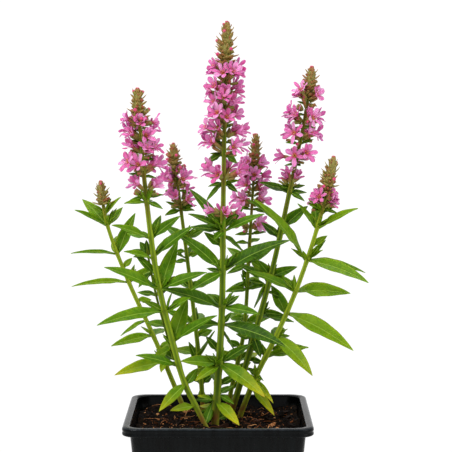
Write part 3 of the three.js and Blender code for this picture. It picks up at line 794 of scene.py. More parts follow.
# Leaves are lance-shaped and stalkless. They sit in pairs and clasp the stem, and each blade
# arches, is creased along its pale midrib and waves a little at its edge.
leaf_stations = 26
leaf_columns = 10
leaf_inset = 0.45
leaf_curl_per_mm = 0.35
leaf_roll = 52.0
leaf_roll_end = 0.33
leaf_crease = 0.3
leaf_wave = 0.3
leaf_wave_mm = 15.0
leaf_wave_edge = 2.5
leaf_full_width = 12.0
leaf_sway = 0.02
leaf_tip = 0.5
leaf_quilting = 0.09
leaf_thickness = 0.35
leaf_rib_depth = 0.9
leaf_rib_width = 0.7
leaf_rib_taper = 0.7
leaf_vein_spacing = 4.6
leaf_vein_slant = 0.9
leaf_midrib = (0.55, 0.2)
leaf_patch_mm = 6.25
leaf_net_mm = 1.333
leaf_old_height = (112.0, 188.0)
leaf_age_spread = (0.6, 1.3)
leaf_age_power = 2.5
leaf_age_gain = 1.8
leaf_pale_spread = 0.2
leaf_old_paleness = 0.7
leaf_end = 0.975
leaf_dark = "#1E3A02"
leaf_mid = "#446C04"
leaf_pale = "#6E8A0E"
leaf_yellow = "#AEA812"
leaf_tip_brown = "#A87A2C"
leaf_vein = "#90B040"
side_vein_strength = 0.18
net_vein_strength = 0.06
midrib_strength = 0.85
side_vein_width = 0.09
net_vein_width = 0.1
midrib_core = 0.05
leaf_burnt_from = 0.86
leaf_dull_beneath = 0.35
bud_leaf_share = 0.5
bud_leaves = 4
bud_leaf_length = (6.0, 15.0)
bud_leaf_lift = (30.0, 75.0)
bud_leaf_slimness = 0.28
bud_leaf_spread = 60.0
bud_leaf_paleness = 0.1
small_leaf = {"stations": 12, "columns": 4, "ages": 0.0}
up = np.array([0, 0, 1.0])


def level_ways(turn):
    """The level direction at an angle, and the one a quarter turn on from it."""
    c, s = math.cos(turn), math.sin(turn)
    return np.array([c, s, 0]), np.array([-s, c, 0])


def blade_faces(stations, ring):
    """Faces of a closed blade: rings of points and one tip point."""
    faces = ring_faces(stations, ring, cap_end=False)
    tip = stations * ring
    faces += [[tip - ring + i, tip - ring + (i + 1) % ring, tip] for i in range(ring)]
    return faces


def round_blade(columns):
    """Places across a blade, over its top and back beneath it, and which of them are on top."""
    top = np.linspace(1, -1, columns + 1)
    upper = np.concatenate([np.ones(columns + 1), np.zeros(columns - 1)])
    return np.concatenate([top, top[1:-1][::-1]]), upper


def rolled(side, face, angle):
    """A blade's directions to its side and out of its face, turned about its middle line."""
    c, s = np.cos(angle)[:, None], np.sin(angle)[:, None]
    return side * c + face * s, face * c - side * s


def blade_points(middle, side, face, y, rise, tip):
    """The points of a blade round its middle line. tip is how many steps its point runs on."""
    points = middle[:, None, :] + side[:, None, :] * y[:, :, None] + face[:, None, :] * rise[:, :, None]
    return np.vstack([points.reshape(-1, 3), middle[-1] + (middle[-1] - middle[-2]) * tip])


def leaf_outline(t):
    """Half a leaf's width along its blade: a clasping foot, widest at a third, and a long point."""
    return 2.4 * np.sqrt(t + 0.02) * (1 - t) ** 0.95


def leaf_blade(gathering, root, heading, length, lift, width, pale, chance, stations=leaf_stations,
               columns=leaf_columns, ages=1.0):
    """One blade that leaves the stem at root and follows the CAD's arch and roll."""
    turn = math.radians(heading)
    curl = math.radians(leaf_curl_per_mm * length)
    start = math.radians(lift) + curl / 2
    out, level = level_ways(turn)
    t = np.linspace(0, leaf_end, stations)
    angle = start - curl * t
    middle = (root + np.outer((math.sin(start) - np.sin(angle)) / curl * length, out)
              + np.outer((np.cos(angle) - math.cos(start)) / curl * length, up))
    roll = math.radians(leaf_roll) * math.cos(turn) * np.minimum(1, t / leaf_roll_end)
    side, face = rolled(level, np.outer(np.cos(angle), up) - np.outer(np.sin(angle), out), roll)
    half = width / 2 * leaf_outline(t)
    sway = leaf_sway * length * chance.uniform(-1, 1) * t ** 2
    across, upper = round_blade(columns)
    x = t * length
    y = np.outer(half, across)
    phase = chance.uniform(0, 2 * math.pi, 2)
    crease = leaf_crease * (np.abs(y) - half[:, None] * 0.5)
    ripple = np.sin(2 * math.pi * x[:, None] / leaf_wave_mm + phase[0] + (across > 0) * phase[1])
    ripple *= leaf_wave * min(1, width / leaf_full_width) * np.abs(across) ** leaf_wave_edge
    ripple *= (half / half.max())[:, None]
    vein = np.cos(2 * math.pi * (x[:, None] - leaf_vein_slant * np.abs(y)) / leaf_vein_spacing)
    quilt = -leaf_quilting * vein * np.minimum(1, 4 * np.abs(across) * (1 - np.abs(across)))
    rib = leaf_rib_depth * (1 - t[:, None] * leaf_rib_taper) * np.exp(-(y / leaf_rib_width) ** 2)
    depth = leaf_thickness * (1 - across ** 2) + rib
    rise = crease + ripple + quilt - np.where(upper > 0.5, 0, depth)
    points = blade_points(middle, side, face, y + sway[:, None], rise, leaf_tip)
    points[-1] += side[-1] * sway[-1]
    old = np.interp(points[-1, 2], leaf_old_height, [1, 0])
    old = min(1.0, old * chance.uniform(*leaf_age_spread)) * ages
    own = chance.uniform(0, 99)
    blade = np.column_stack([np.repeat(x, len(across)), y.ravel(), np.full(y.size, own)])
    gathering.add(points, blade_faces(stations, 2 * columns), blade=np.vstack([blade, [length, 0, own]]),
                  share=np.append(np.repeat(t, len(across)), 1),
                  upper=np.append(np.tile(upper, stations), 1), old=old,
                  pale=np.clip(pale + chance.uniform(-leaf_pale_spread, leaf_pale_spread)
                               + leaf_old_paleness * old, 0, 1))


def leaf_root(plant, height, heading):
    """Where a leaf starts, just inside the skin of its stem."""
    inset = stem_radius_at(plant, height) * leaf_inset
    return axis_at(plant, height) + inset * level_ways(math.radians(heading))[0]


leaf_skin, tree, shader = new_material("leaf_blade_fresh_green")
# A fresh leaf: satin green that lets light through, darker between its veins, with a pale midrib
# and side veins, a duller underside, and yellow then brown from the tip as it ages. The net of
# its finest veins is drawn coarser than the real one, so that it shows.
blade = add_node(tree, "Attribute", attribute_name="blade").outputs["Vector"]
share, old, pale, upper = (add_node(tree, "Attribute", attribute_name=name).outputs["Fac"]
                           for name in ("share", "old", "pale", "upper"))
along, across, _ = add_node(tree, "SeparateXYZ", {"Vector": blade}).outputs
aside = add_node(tree, "Math", {0: across}, operation="ABSOLUTE")
patches = add_node(tree, "TexNoise", {"Vector": blade, "Scale": 1 / leaf_patch_mm, "Detail": 3.0})
lightness = add_node(tree, "MapRange", {"Value": patches, "From Min": 0.3, "From Max": 0.7,
                                        "To Min": -0.15, "To Max": 0.15})
tone = add_node(tree, "Math", {0: pale, 1: lightness}, operation="ADD")
green = add_node(tree, "ValToRGB", {"Fac": tone},
                 stops=[(0.0, leaf_dark), (0.5, leaf_mid), (1.0, leaf_pale)])
slant = add_node(tree, "Math", {0: aside, 1: -leaf_vein_slant, 2: along}, operation="MULTIPLY_ADD")
turns = add_node(tree, "Math", {0: slant, 1: 1 / leaf_vein_spacing}, operation="MULTIPLY")
swing = add_node(tree, "Math", {0: turns, 1: 0.5}, operation="PINGPONG")
side_vein = add_node(tree, "MapRange", {"Value": swing, "From Min": side_vein_width, "From Max": 0.0,
                                        "To Min": 0.0, "To Max": side_vein_strength})
net = add_node(tree, "TexVoronoi", {"Vector": blade, "Scale": 1 / leaf_net_mm}, feature="DISTANCE_TO_EDGE")
net_vein = add_node(tree, "MapRange", {"Value": net, "From Min": net_vein_width, "From Max": 0.0,
                                       "To Min": 0.0, "To Max": net_vein_strength})
midrib_width = add_node(tree, "MapRange", {"Value": share, "To Min": leaf_midrib[0],
                                           "To Max": leaf_midrib[1]})
midrib = add_node(tree, "MapRange", {"Value": aside, "From Min": midrib_width,
                                     "From Max": midrib_core, "To Min": 0.0,
                                     "To Max": midrib_strength})
fine = add_node(tree, "Math", {0: side_vein, 1: net_vein}, operation="MAXIMUM")
veins = add_node(tree, "Math", {0: fine, 1: midrib}, operation="MAXIMUM")
outer = add_node(tree, "Math", {0: share, 1: leaf_age_power}, operation="POWER")
age = add_node(tree, "Math", {0: outer, 1: leaf_age_gain, 2: lightness}, operation="MULTIPLY_ADD")
turned = add_node(tree, "Math", {0: age, 1: old}, operation="MULTIPLY", use_clamp=True)
aged = add_node(tree, "Mix", {0: turned, "A": green, "B": leaf_yellow}, data_type="RGBA")
end = add_node(tree, "MapRange", {"Value": share, "From Min": leaf_burnt_from, "From Max": 1.0})
burnt = add_node(tree, "Math", {0: end, 1: old}, operation="MULTIPLY")
tipped = add_node(tree, "Mix", {0: burnt, "A": aged, "B": leaf_tip_brown}, data_type="RGBA")
veined = add_node(tree, "Mix", {0: veins, "A": tipped, "B": leaf_vein}, data_type="RGBA")
dull = add_node(tree, "MapRange", {"Value": upper, "To Min": leaf_dull_beneath, "To Max": 0.0})
skin = add_node(tree, "Mix", {0: dull, "A": veined, "B": leaf_pale}, data_type="RGBA")
dent = add_node(tree, "Bump", {"Height": veins, "Strength": 0.35, "Distance": 0.3 * mm}, invert=True)
feed(tree, shader, {"Base Color": skin, "Normal": dent, "Roughness": 0.45,
                    "Specular IOR Level": 0.08, "Subsurface Weight": 0.25,
                    "Subsurface Radius": (0.7, 1.0, 0.25), "Subsurface Scale": 1.2 * mm})

for plant in plants:
    chance = np.random.default_rng(plant["seed"])
    foliage = Gathering()
    for height, heading, length, lift, width in plant["leaves"]:
        root = leaf_root(plant, height, heading)
        leaf_blade(foliage, root, heading, length, lift, width, plant["pale"], chance)
        for _ in range(bud_leaves if chance.random() < bud_leaf_share else 0):
            size = chance.uniform(*bud_leaf_length)
            leaf_blade(foliage, root + up, heading + chance.uniform(-bud_leaf_spread, bud_leaf_spread),
                       size, chance.uniform(*bud_leaf_lift), size * bud_leaf_slimness,
                       plant["pale"] + bud_leaf_paleness, chance, **small_leaf)
    small = [(plant, leaf) for leaf in plant["small_leaves"]]
    if "side_shoot" in plant:
        small += [(plant["side_shoot"], leaf) for leaf in plant["side_shoot"]["leaves"]]
    for stem, (height, heading, length, lift, width) in small:
        leaf_blade(foliage, leaf_root(stem, height, heading), heading, length, lift, width,
                   stem["pale"], chance, **small_leaf)
    foliage.piece("leaves_" + plant["name"], leaf_skin, "leaf", "stem_" + plant["name"])


# Flowers stand in whorls on the upper stem, each of two tufts on opposite sides. The square stem
# runs on between the whorls, greener below and flushed red-brown as it thins towards the tip.
tuft_spread = 44.0
heading_spread = 12.0
tilt_spread = 26.0
inner_reach = 0.78
size_spread = 0.12
opening_shuffle = 7.3
rachis_overlap = 3.0
rachis_slimness = 0.97
rachis_reds = [0.4, 0.8]


def dice(seed):
    """Repeatable random numbers from 0 to 1, the same as in the CAD."""
    state = seed
    while True:
        state = (state * 1664525 + 1013904223) % 4294967296
        yield state / 4294967296


def open_flowers(plant):
    """The CAD's open flowers: [root, heading, tilt, reach, size, spin, how far it is shut]."""
    throw = dice(plant["seed"])
    flowers = []
    for height, count, reach, size, towards, least_tilt in plant["whorls"]:
        for j in range(count):
            rank = j // 2
            last = math.ceil((count - j % 2) / 2) - 1
            turn = towards + 180 * (j % 2) + (tuft_spread * (2 * rank / last - 1) if last else 0)
            heading = math.radians(turn + heading_spread * (next(throw) - 0.5))
            tilt = math.radians(least_tilt + tilt_spread * next(throw))
            depth = reach * (1 if rank % 2 == 1 else inner_reach)
            depth *= 1 + size_spread * (next(throw) - 0.5)
            scale = size * (1 + size_spread * (next(throw) - 0.5))
            spin = next(throw) * math.pi
            shut = (spin * opening_shuffle) % 1
            flowers.append([axis_at(plant, height + 1), heading, tilt, depth, scale, spin, shut])
    return flowers


def facing(heading, tilt):
    """The way a flower or bud points, and the two directions across it."""
    out, across = level_ways(heading)
    face = math.cos(tilt) * out + math.sin(tilt) * up
    return face, across, np.cross(face, across)


flowering = [plant for plant in plants if plant["whorls"]]
for plant in flowering:
    rachis = Gathering()
    low, high = plant["spike_foot"] - rachis_overlap, plant["cone_foot"]
    stalk(rachis, plant, low, high, lambda z: np.interp(z, [low, high], rachis_reds), rachis_slimness)
    rachis.piece("rachis_" + plant["name"], stem_skin, "leaf", "flowers_" + plant["name"])


# Calyx tubes and closed buds: each flower's green cup is a ribbed tube with six pointed teeth and
# fine pale hairs. Tubes whose flower hasn't opened show a tight, deep pink tip, and a pair of
# small bracts stands under each whorl.
calyx_ring = 16
calyx_ribs = 8
calyx_profile = [(0.0, 0.3), (0.12, 0.7), (0.4, 0.95), (0.75, 1.0), (0.92, 0.9), (1.0, 0.45)]
calyx_rib_height = 0.13
calyx_length = 8.5
calyx_radius = 1.45
calyx_gap = 1.5
throat_depth = 3.6
tooth_count = 6
tooth_length = 1.7
tooth_radius = 0.3
tooth_place = (0.86, 0.8)
tooth_shift = 0.2
tooth_splay = (0.1, 0.5)
tooth_length_spread = (0.6, 1.1)
tooth_colour = 0.8
tooth_blush = (0.4, 1)
hair_count = 5
hair_length = 1.2
hair_radius = 0.05
hair_lean = (-0.2, 0.9)
hair_places = (0.2, 0.95)
hair_foot = 0.9
hair_length_spread = (0.5, 1.1)
spike_turns = (0, 2.09, 4.19)
skew_way = [0.31, 0.52, 0.79]
buds_between_flowers = 12
pink_tipped_share = 0.4
closed_bud_length = (5.0, 8.5)
closed_bud_radius = (0.9, 1.35)
closed_bud_tilt = (-22.0, 40.0)
closed_bud_rise = (-2.5, 1.5)
closed_bud_reach = (1.5, 4.5)
bud_spread = 62.0
bract_drop = 2.5
bract_length = (7.0, 13.0)
bract_width = (2.6, 4.4)
bract_lift = (-20.0, 25.0)
bract_spread = 20
bract_pale = 0.4
calyx_green = "#9A9A40"
calyx_groove_shade = "#5C5E20"
calyx_red = "#9A4030"
bud_pink = "#CF3A72"
hair_white = "#E4DDC4"

calyx_turns = 2 * math.pi * np.arange(calyx_ring) / calyx_ring
calyx_share, calyx_width = np.repeat(np.array(calyx_profile), calyx_ring, axis=0).T
calyx_rib = np.tile(np.cos(calyx_ribs * calyx_turns), len(calyx_profile))
calyx_reach = calyx_width + calyx_rib_height * calyx_rib
calyx_across = calyx_reach * np.tile(np.cos(calyx_turns), len(calyx_profile))
calyx_above = calyx_reach * np.tile(np.sin(calyx_turns), len(calyx_profile))
calyx_faces = ring_faces(len(calyx_profile), calyx_ring)
spike_faces = [[0, 1, 3], [1, 2, 3], [2, 0, 3], [2, 1, 0]]


def thin_spike(gathering, root, way, length, radius, **values):
    """A three-sided point, such as a tooth or a hair."""
    aside = unit(np.cross(way, skew_way))
    third = np.cross(way, aside)
    corners = [root + radius * (math.cos(a) * aside + math.sin(a) * third) for a in spike_turns]
    gathering.add(np.array([*corners, root + length * way]), spike_faces, **values)


def calyx(gathering, hairs, root, heading, tilt, length, radius, rosy, chance, teeth=tooth_count,
          fur=hair_count):
    """One ribbed tube with its teeth and hairs. rosy is the depth of pink in its closed tip."""
    face, across, above = facing(heading, tilt)
    points = (root + np.outer(calyx_share * length, face) + np.outer(calyx_across * radius, across)
              + np.outer(calyx_above * radius, above))
    blush = chance.uniform(0, 1)
    gathering.add(points, calyx_faces, share=calyx_share, rib=calyx_rib, rosy=rosy, blush=blush)
    along, aside = tooth_place
    for i in range(teeth):
        angle = 2 * math.pi * (i + chance.uniform(-tooth_shift, tooth_shift)) / teeth
        out = math.cos(angle) * across + math.sin(angle) * above
        way = unit(face + out * chance.uniform(*tooth_splay))
        thin_spike(gathering, root + face * length * along + out * radius * aside, way,
                   tooth_length * chance.uniform(*tooth_length_spread) * min(1, radius),
                   tooth_radius * min(1, radius), share=tooth_colour, rib=0.0, rosy=0.0,
                   blush=chance.uniform(*tooth_blush))
    for _ in range(fur):
        angle = chance.uniform(0, 2 * math.pi)
        out = math.cos(angle) * across + math.sin(angle) * above
        way = unit(out + face * chance.uniform(*hair_lean))
        spot = root + face * length * chance.uniform(*hair_places) + out * radius * hair_foot
        thin_spike(hairs, spot, way, hair_length * chance.uniform(*hair_length_spread), hair_radius)


calyx_skin, tree, shader = new_material("calyx_hairy_ribbed_green")
# Hairy living skin: matt green-brown, darker in its grooves as painted shade, flushed red-brown
# towards its teeth, with a deep pink bud tip where the petals are still rolled up.
share, rib, rosy, blush = (add_node(tree, "Attribute", attribute_name=name).outputs["Fac"]
                           for name in ("share", "rib", "rosy", "blush"))
# The grooves are painted darker than the ribs: a painted shade.
height = add_node(tree, "MapRange", {"Value": rib, "From Min": -1.0, "From Max": 0.6})
green = add_node(tree, "Mix", {0: height, "A": calyx_groove_shade, "B": calyx_green}, data_type="RGBA")
flush = add_node(tree, "Math", {0: share, 1: blush}, operation="MULTIPLY", use_clamp=True)
red = add_node(tree, "Mix", {0: flush, "A": green, "B": calyx_red}, data_type="RGBA")
tip = add_node(tree, "MapRange", {"Value": share, "From Min": 0.8, "From Max": 0.95})
pink = add_node(tree, "Math", {0: tip, 1: rosy}, operation="MULTIPLY")
skin = add_node(tree, "Mix", {0: pink, "A": red, "B": bud_pink}, data_type="RGBA")
feed(tree, shader, {"Base Color": skin, "Roughness": 0.6, "Subsurface Weight": 0.1,
                    "Subsurface Radius": (0.8, 0.6, 0.3), "Subsurface Scale": 0.8 * mm})

plant_hair, tree, shader = new_material("plant_hair_pale")
# Fine pale hairs: they catch the light and put a bloom on calyces and buds.
feed(tree, shader, {"Base Color": hair_white, "Roughness": 0.5})

for plant in flowering:
    chance = np.random.default_rng(plant["seed"] + 100)
    cups, hairs, bracts = Gathering(), Gathering(), Gathering()
    for root, heading, tilt, reach, size, spin, shut in open_flowers(plant):
        face = facing(heading, tilt)[0]
        mouth = reach - throat_depth * shut
        length = min(calyx_length * size, mouth - calyx_gap)
        calyx(cups, hairs, root + face * (mouth - length), heading, tilt, length, calyx_radius * size, 0.0,
              chance)
    for k, (height, count, reach, size, towards, least_tilt) in enumerate(plant["whorls"]):
        for j in range(buds_between_flowers):
            heading = math.radians(towards + 180 * (j % 2) + chance.uniform(-bud_spread, bud_spread))
            tilt = math.radians(least_tilt + chance.uniform(*closed_bud_tilt))
            root = axis_at(plant, height + chance.uniform(*closed_bud_rise))
            root = root + facing(heading, tilt)[0] * chance.uniform(*closed_bud_reach)
            rosy = 1.0 if chance.random() < pink_tipped_share else 0.0
            calyx(cups, hairs, root, heading, tilt, chance.uniform(*closed_bud_length) * size,
                  chance.uniform(*closed_bud_radius) * size, rosy, chance)
        low = 1 - k / len(plant["whorls"])
        for j in range(2):
            heading = towards + 180 * j + chance.uniform(-bract_spread, bract_spread)
            root = axis_at(plant, height - bract_drop) + level_ways(math.radians(heading))[0]
            leaf_blade(bracts, root, heading, np.interp(low, [0, 1], bract_length),
                       chance.uniform(*bract_lift), np.interp(low, [0, 1], bract_width), bract_pale, chance)
    cups.piece("calyces_" + plant["name"], calyx_skin, "bud", "flowers_" + plant["name"])
    hairs.piece("calyx_hairs_" + plant["name"], plant_hair, "bud")
    bracts.piece("bracts_" + plant["name"], leaf_skin, "leaf")


# Petals: six to a flower, thin and crumpled like crepe, each on a narrow claw at the mouth of the
# calyx and widest near its rounded end.
petal_count = 6
petal_stations = 9
petal_columns = 6
petal_length = 10.0
petal_half_width = 2.8
petal_end = 0.96
petal_tip = 0.3
petal_droop = 12.0
petal_twist = 28.0
petal_cup = 72.0
petal_cup_spread = 13.0
petal_thickness = 0.14
petal_edge = 0.02
petal_claw = 0.9
petal_crumple = 0.189
petal_veins = 3.5
petal_length_spread = (0.88, 1.1)
petal_width_spread = (0.8, 1.15)
petal_opening = 1.5
petal_fold = 0.12
petal_fold_spread = (-1, 1.6)
petal_shift = 0.15
petal_cloud_mm = 3.333
petal_inset = 0.6
open_cups = (18.0, 60.0)
half_open_flowers = 2
half_open_spread = 60.0
half_open_rise = (0.0, 3.0)
half_open_lift = (5.0, 40.0)
half_open_reach = (0.45, 0.65)
half_open_size = (0.6, 0.85)
half_open_cups = (55.0, 78.0)
half_open_spins = (0.0, 3.0)
petal_pinks = [(0.0, "#C4548A"), (0.5, "#D873AC"), (1.0, "#E99CCB")]
petal_vein = "#A8326C"
petal_throat = "#B4263F"
petal_faces = blade_faces(petal_stations, 2 * petal_columns)


def bent_line(start, slope, length, t, out, above):
    """A line of short steps that rise from out towards above by a slope, and its upper directions."""
    step = np.diff(t, prepend=0) * length
    middle = (start + np.outer(np.cumsum(np.cos(slope) * step), out)
              + np.outer(np.cumsum(np.sin(slope) * step), above))
    return middle, np.outer(np.cos(slope), above) - np.outer(np.sin(slope), out)


def petal_outline(t):
    """Half a petal's width along it: a narrow claw, widest near the rounded end."""
    return (0.14 + t ** 0.9) * (1 - t ** 4.5) ** 0.7


def petal(gathering, throat, face, radial, sideways, size, chance, open_cup, petal_painted_light):
    """One petal that leaves the throat forwards and opens out to a cup angle."""
    t = np.linspace(0, petal_end, petal_stations)
    length = petal_length * size * chance.uniform(*petal_length_spread)
    cup = np.radians(petal_cup + (open_cup - petal_cup) * np.minimum(1, petal_opening * t))
    middle, normal = bent_line(throat + petal_claw * size * radial, cup, length, t, radial, face)
    side, normal = rolled(sideways, normal, np.radians(chance.uniform(-petal_twist, petal_twist)) * t)
    half = petal_half_width * size * chance.uniform(*petal_width_spread) * petal_outline(t)
    across, upper = round_blade(petal_columns)
    y = np.outer(half, across)
    phase = chance.uniform(0, 2 * math.pi, 4)
    along = t[:, None]
    crumple = (np.sin(5.5 * across + phase[0] + 3 * along) + np.sin(9 * along + phase[1] + 2 * across)
               + 1.2 * np.sin(14 * along + phase[2]) * np.abs(across) ** 2)
    fold = petal_fold * np.abs(y) * chance.uniform(*petal_fold_spread)
    rise = petal_crumple * size * along * crumple + fold
    rise -= np.where(upper > 0.5, 0, petal_thickness * (1 - across ** 2) + petal_edge)
    # The back spikes' petals are painted lighter here, to make up for the shade they stand in.
    own = chance.uniform(0, 1) + petal_painted_light
    mark = np.column_stack([np.repeat(t, len(across)), np.tile(across, petal_stations),
                            np.full(y.size, own)])
    gathering.add(blade_points(middle, side, normal, y, rise, petal_tip), petal_faces,
                  petal=np.vstack([mark, [1, 0, own]]))


def flower(gathering, root, heading, tilt, mouth, size, spin, open_cup, chance, petal_painted_light):
    """Six petals round a throat. Those that hang below it open a little further."""
    face, across, above = facing(heading, tilt)
    for i in range(petal_count):
        angle = spin + 2 * math.pi / petal_count * (i + chance.uniform(-petal_shift, petal_shift))
        radial = across * math.cos(angle) + above * math.sin(angle)
        sideways = above * math.cos(angle) - across * math.sin(angle)
        cup = open_cup + chance.uniform(-petal_cup_spread, petal_cup_spread) + petal_droop * radial[2]
        petal(gathering, root + face * mouth, face, radial, sideways, size, chance, cup, petal_painted_light)


crepe_petal, tree, shader = new_material("petal_crepe_pink")
# Fresh petals: thin, soft and slightly translucent, mid pink with deeper veins that fan from a
# magenta throat, and no two quite the same pink.
mark = add_node(tree, "Attribute", attribute_name="petal").outputs["Vector"]
along, across, own = add_node(tree, "SeparateXYZ", {"Vector": mark}).outputs
cloud = add_node(tree, "TexNoise", {"Vector": mark, "Scale": petal_length / petal_cloud_mm,
                                    "Detail": 2.0})
shift = add_node(tree, "MapRange", {"Value": cloud, "From Min": 0.3, "From Max": 0.7,
                                    "To Min": -0.3, "To Max": 0.3})
tone = add_node(tree, "Math", {0: own, 1: shift}, operation="ADD")
pink = add_node(tree, "ValToRGB", {"Fac": tone}, stops=petal_pinks)
fan = add_node(tree, "Math", {0: across, 1: petal_veins}, operation="MULTIPLY")
swing = add_node(tree, "Math", {0: fan, 1: 0.5}, operation="PINGPONG")
line = add_node(tree, "MapRange", {"Value": swing, "From Min": 0.2, "From Max": 0.0,
                                   "To Min": 0.0, "To Max": 0.6})
fade = add_node(tree, "MapRange", {"Value": along, "From Min": 0.3, "From Max": 1.0,
                                   "To Min": 1.0, "To Max": 0.15})
vein = add_node(tree, "Math", {0: line, 1: fade}, operation="MULTIPLY")
veined = add_node(tree, "Mix", {0: vein, "A": pink, "B": petal_vein}, data_type="RGBA")
deep = add_node(tree, "MapRange", {"Value": along, "From Min": 0.42, "From Max": 0.05,
                                   "To Min": 0.0, "To Max": 0.85})
skin = add_node(tree, "Mix", {0: deep, "A": veined, "B": petal_throat}, data_type="RGBA")
feed(tree, shader, {"Base Color": skin, "Roughness": 0.55, "Specular IOR Level": 0.2,
                    "Subsurface Weight": 0.5, "Subsurface Radius": (1.0, 0.5, 0.9),
                    "Subsurface Scale": 1.0 * mm})

for plant in flowering:
    chance = np.random.default_rng(plant["seed"] + 200)
    corolla, petal_painted_light = Gathering(), plant.get("petal_painted_light", 0)
    for root, heading, tilt, reach, size, spin, shut in open_flowers(plant):
        flower(corolla, root, heading, tilt, reach - throat_depth * shut - petal_inset, size, spin,
               np.interp(shut, [0, 1], open_cups), chance, petal_painted_light)
    for height, count, reach, size, towards, least_tilt in plant["whorls"]:
        for j in range(half_open_flowers if count else 0):
            turn = towards + 180 * (j % 2) + chance.uniform(-half_open_spread, half_open_spread)
            flower(corolla, axis_at(plant, height + chance.uniform(*half_open_rise)), math.radians(turn),
                   math.radians(least_tilt + chance.uniform(*half_open_lift)),
                   reach * chance.uniform(*half_open_reach), size * chance.uniform(*half_open_size),
                   chance.uniform(*half_open_spins), chance.uniform(*half_open_cups), chance, petal_painted_light)
    corolla.piece("petals_" + plant["name"], crepe_petal, "flower", "flowers_" + plant["name"])


# Stamens: twelve thin filaments in the throat of each flower, six long and six short, and each
# ends in a small anther with yellow pollen.
filament_count = 12
filament_lengths = (4.4, 2.4)
filament_radius = 0.1
filament_ring = 0.5
filament_inset = 1.0
filament_splay = (0.05, 0.4)
filament_length_spread = (0.8, 1.1)
anther_radius = 0.36
anther_place = 0.97
filament_pink = "#C8486A"
pollen_yellow = "#E3A43A"
anther_unit = np.array([[1, 0, 0], [-1, 0, 0], [0, 1, 0], [0, -1, 0], [0, 0, 1], [0, 0, -1]]) * 1.0
anther_faces = [[0, 2, 4], [2, 1, 4], [1, 3, 4], [3, 0, 4], [2, 0, 5], [1, 2, 5], [3, 1, 5], [0, 3, 5]]

pollen, tree, shader = new_material("stamen_pollen_yellow")
# Stamens: pink-red threads with dusty yellow heads, which read as a warm dot in the throat.
head = add_node(tree, "Attribute", attribute_name="anther").outputs["Fac"]
colour = add_node(tree, "Mix", {0: head, "A": filament_pink, "B": pollen_yellow}, data_type="RGBA")
feed(tree, shader, {"Base Color": colour, "Roughness": 0.7})

for plant in flowering:
    chance = np.random.default_rng(plant["seed"] + 300)
    stamens = Gathering()
    for root, heading, tilt, reach, size, spin, shut in open_flowers(plant):
        face, across, above = facing(heading, tilt)
        mouth = reach - throat_depth * shut - filament_inset
        for i in range(filament_count):
            angle = spin + 2 * math.pi / filament_count * i
            out = across * math.cos(angle) + above * math.sin(angle)
            way = unit(face + out * chance.uniform(*filament_splay))
            length = filament_lengths[i % 2] * size * chance.uniform(*filament_length_spread)
            foot = root + face * mouth + out * filament_ring
            thin_spike(stamens, foot, way, length, filament_radius, anther=0.0)
            stamens.add(foot + way * length * anther_place + anther_unit * anther_radius * size,
                        anther_faces, anther=1.0)
    stamens.piece("stamens_" + plant["name"], pollen, "flower")


# Bud cones are the growing tips of the spikes. Pointed bracts stand out and up in layers, as on a
# fir cone, with two hairy, closed buds in front of each, and the very tip is one pink bud.
cone_layer_gaps = (5.0, 3.0)
cone_layer_bracts = (6, 5)
cone_tilts = (12.0, 58.0)
cone_tilt_spread = 8
cone_shift = 0.15
cone_bract_bend = 0.75
cone_bract_widths = (3.7, 2.5)
cone_bract_width_spread = (0.85, 1.1)
cone_bract_length_spread = (0.88, 1.08)
cone_bract_place = 0.4
cone_most_length = 14.0
cone_bud_radii = (1.2, 0.8)
cone_bud_share = (0.46, 0.68)
cone_bud_lean = 0.4
cone_bud_teeth = 4
cone_bud_hairs = 2
cone_bud_apart = 2.4
pink_bud_share = 0.09
pink_bud_length = 0.9
pink_bud_girth = 1.25
cone_core_share = 0.4
cone_core_rings = 14
cone_core_least = 0.8
cone_core_ends = (-2, 1)
# The core's low rib value gives it mostly the grooves' darker colour, their painted shade.
cone_core_colour = {"share": 0.4, "rib": -0.4, "rosy": 0.0, "blush": 0.3}
cone_flare = 3.6
cone_into_flowers = 10.0
cone_tip_length = 6.5
cone_tip_radius = 2.0
cone_tip_bracts = 5
cone_tip_bract_length = 0.95
cone_tip_bract_girth = 1.7
cone_tip_bud_girth = 0.7
cone_tip_sink = 0.5
cone_tip_tilt = 84
cone_tip_rosy = (0.7, 0.8)
cone_ripeness = 1.2
cone_youth = 0.9
bract_across = np.array([1, 0.55, 0, -0.55, -1, -0.5, 0, 0.5])
bract_rise = np.array([0.5, 0.12, 0.0, 0.12, 0.5, -0.05, -0.3, -0.05])
bract_stations = 8
bract_end = 0.9
bract_tip = 0.6
bract_colour_end = 0.78
bract_colour_rib = 0.3
bract_blush_spread = (0.5, 1.4)
bract_faces = blade_faces(bract_stations, len(bract_across))


def cone_reach(plant, height):
    """How far the tips of a cone's bracts stand from its axis at a height."""
    low, high = plant["cone_foot"] - 1, plant["path"][-1][2]
    share = np.clip((height - low) / (high - low), 0, 1)
    return (plant["cone_radius"] + cone_flare) * math.sqrt(1 - share ** 2)


def longest(plant, height, lean):
    """The length at which a bract that leans by an angle meets the cone's outline."""
    length = 1.0
    while (length < cone_most_length and cone_bract_place + length * math.cos(lean)
           < cone_reach(plant, height + length * math.sin(lean))):
        length += 0.1
    return length


def bract_outline(t):
    """Half a bract's width along it: full from low down, then a long point."""
    return (t + 0.08) ** 0.6 * (1 - t) ** 0.8


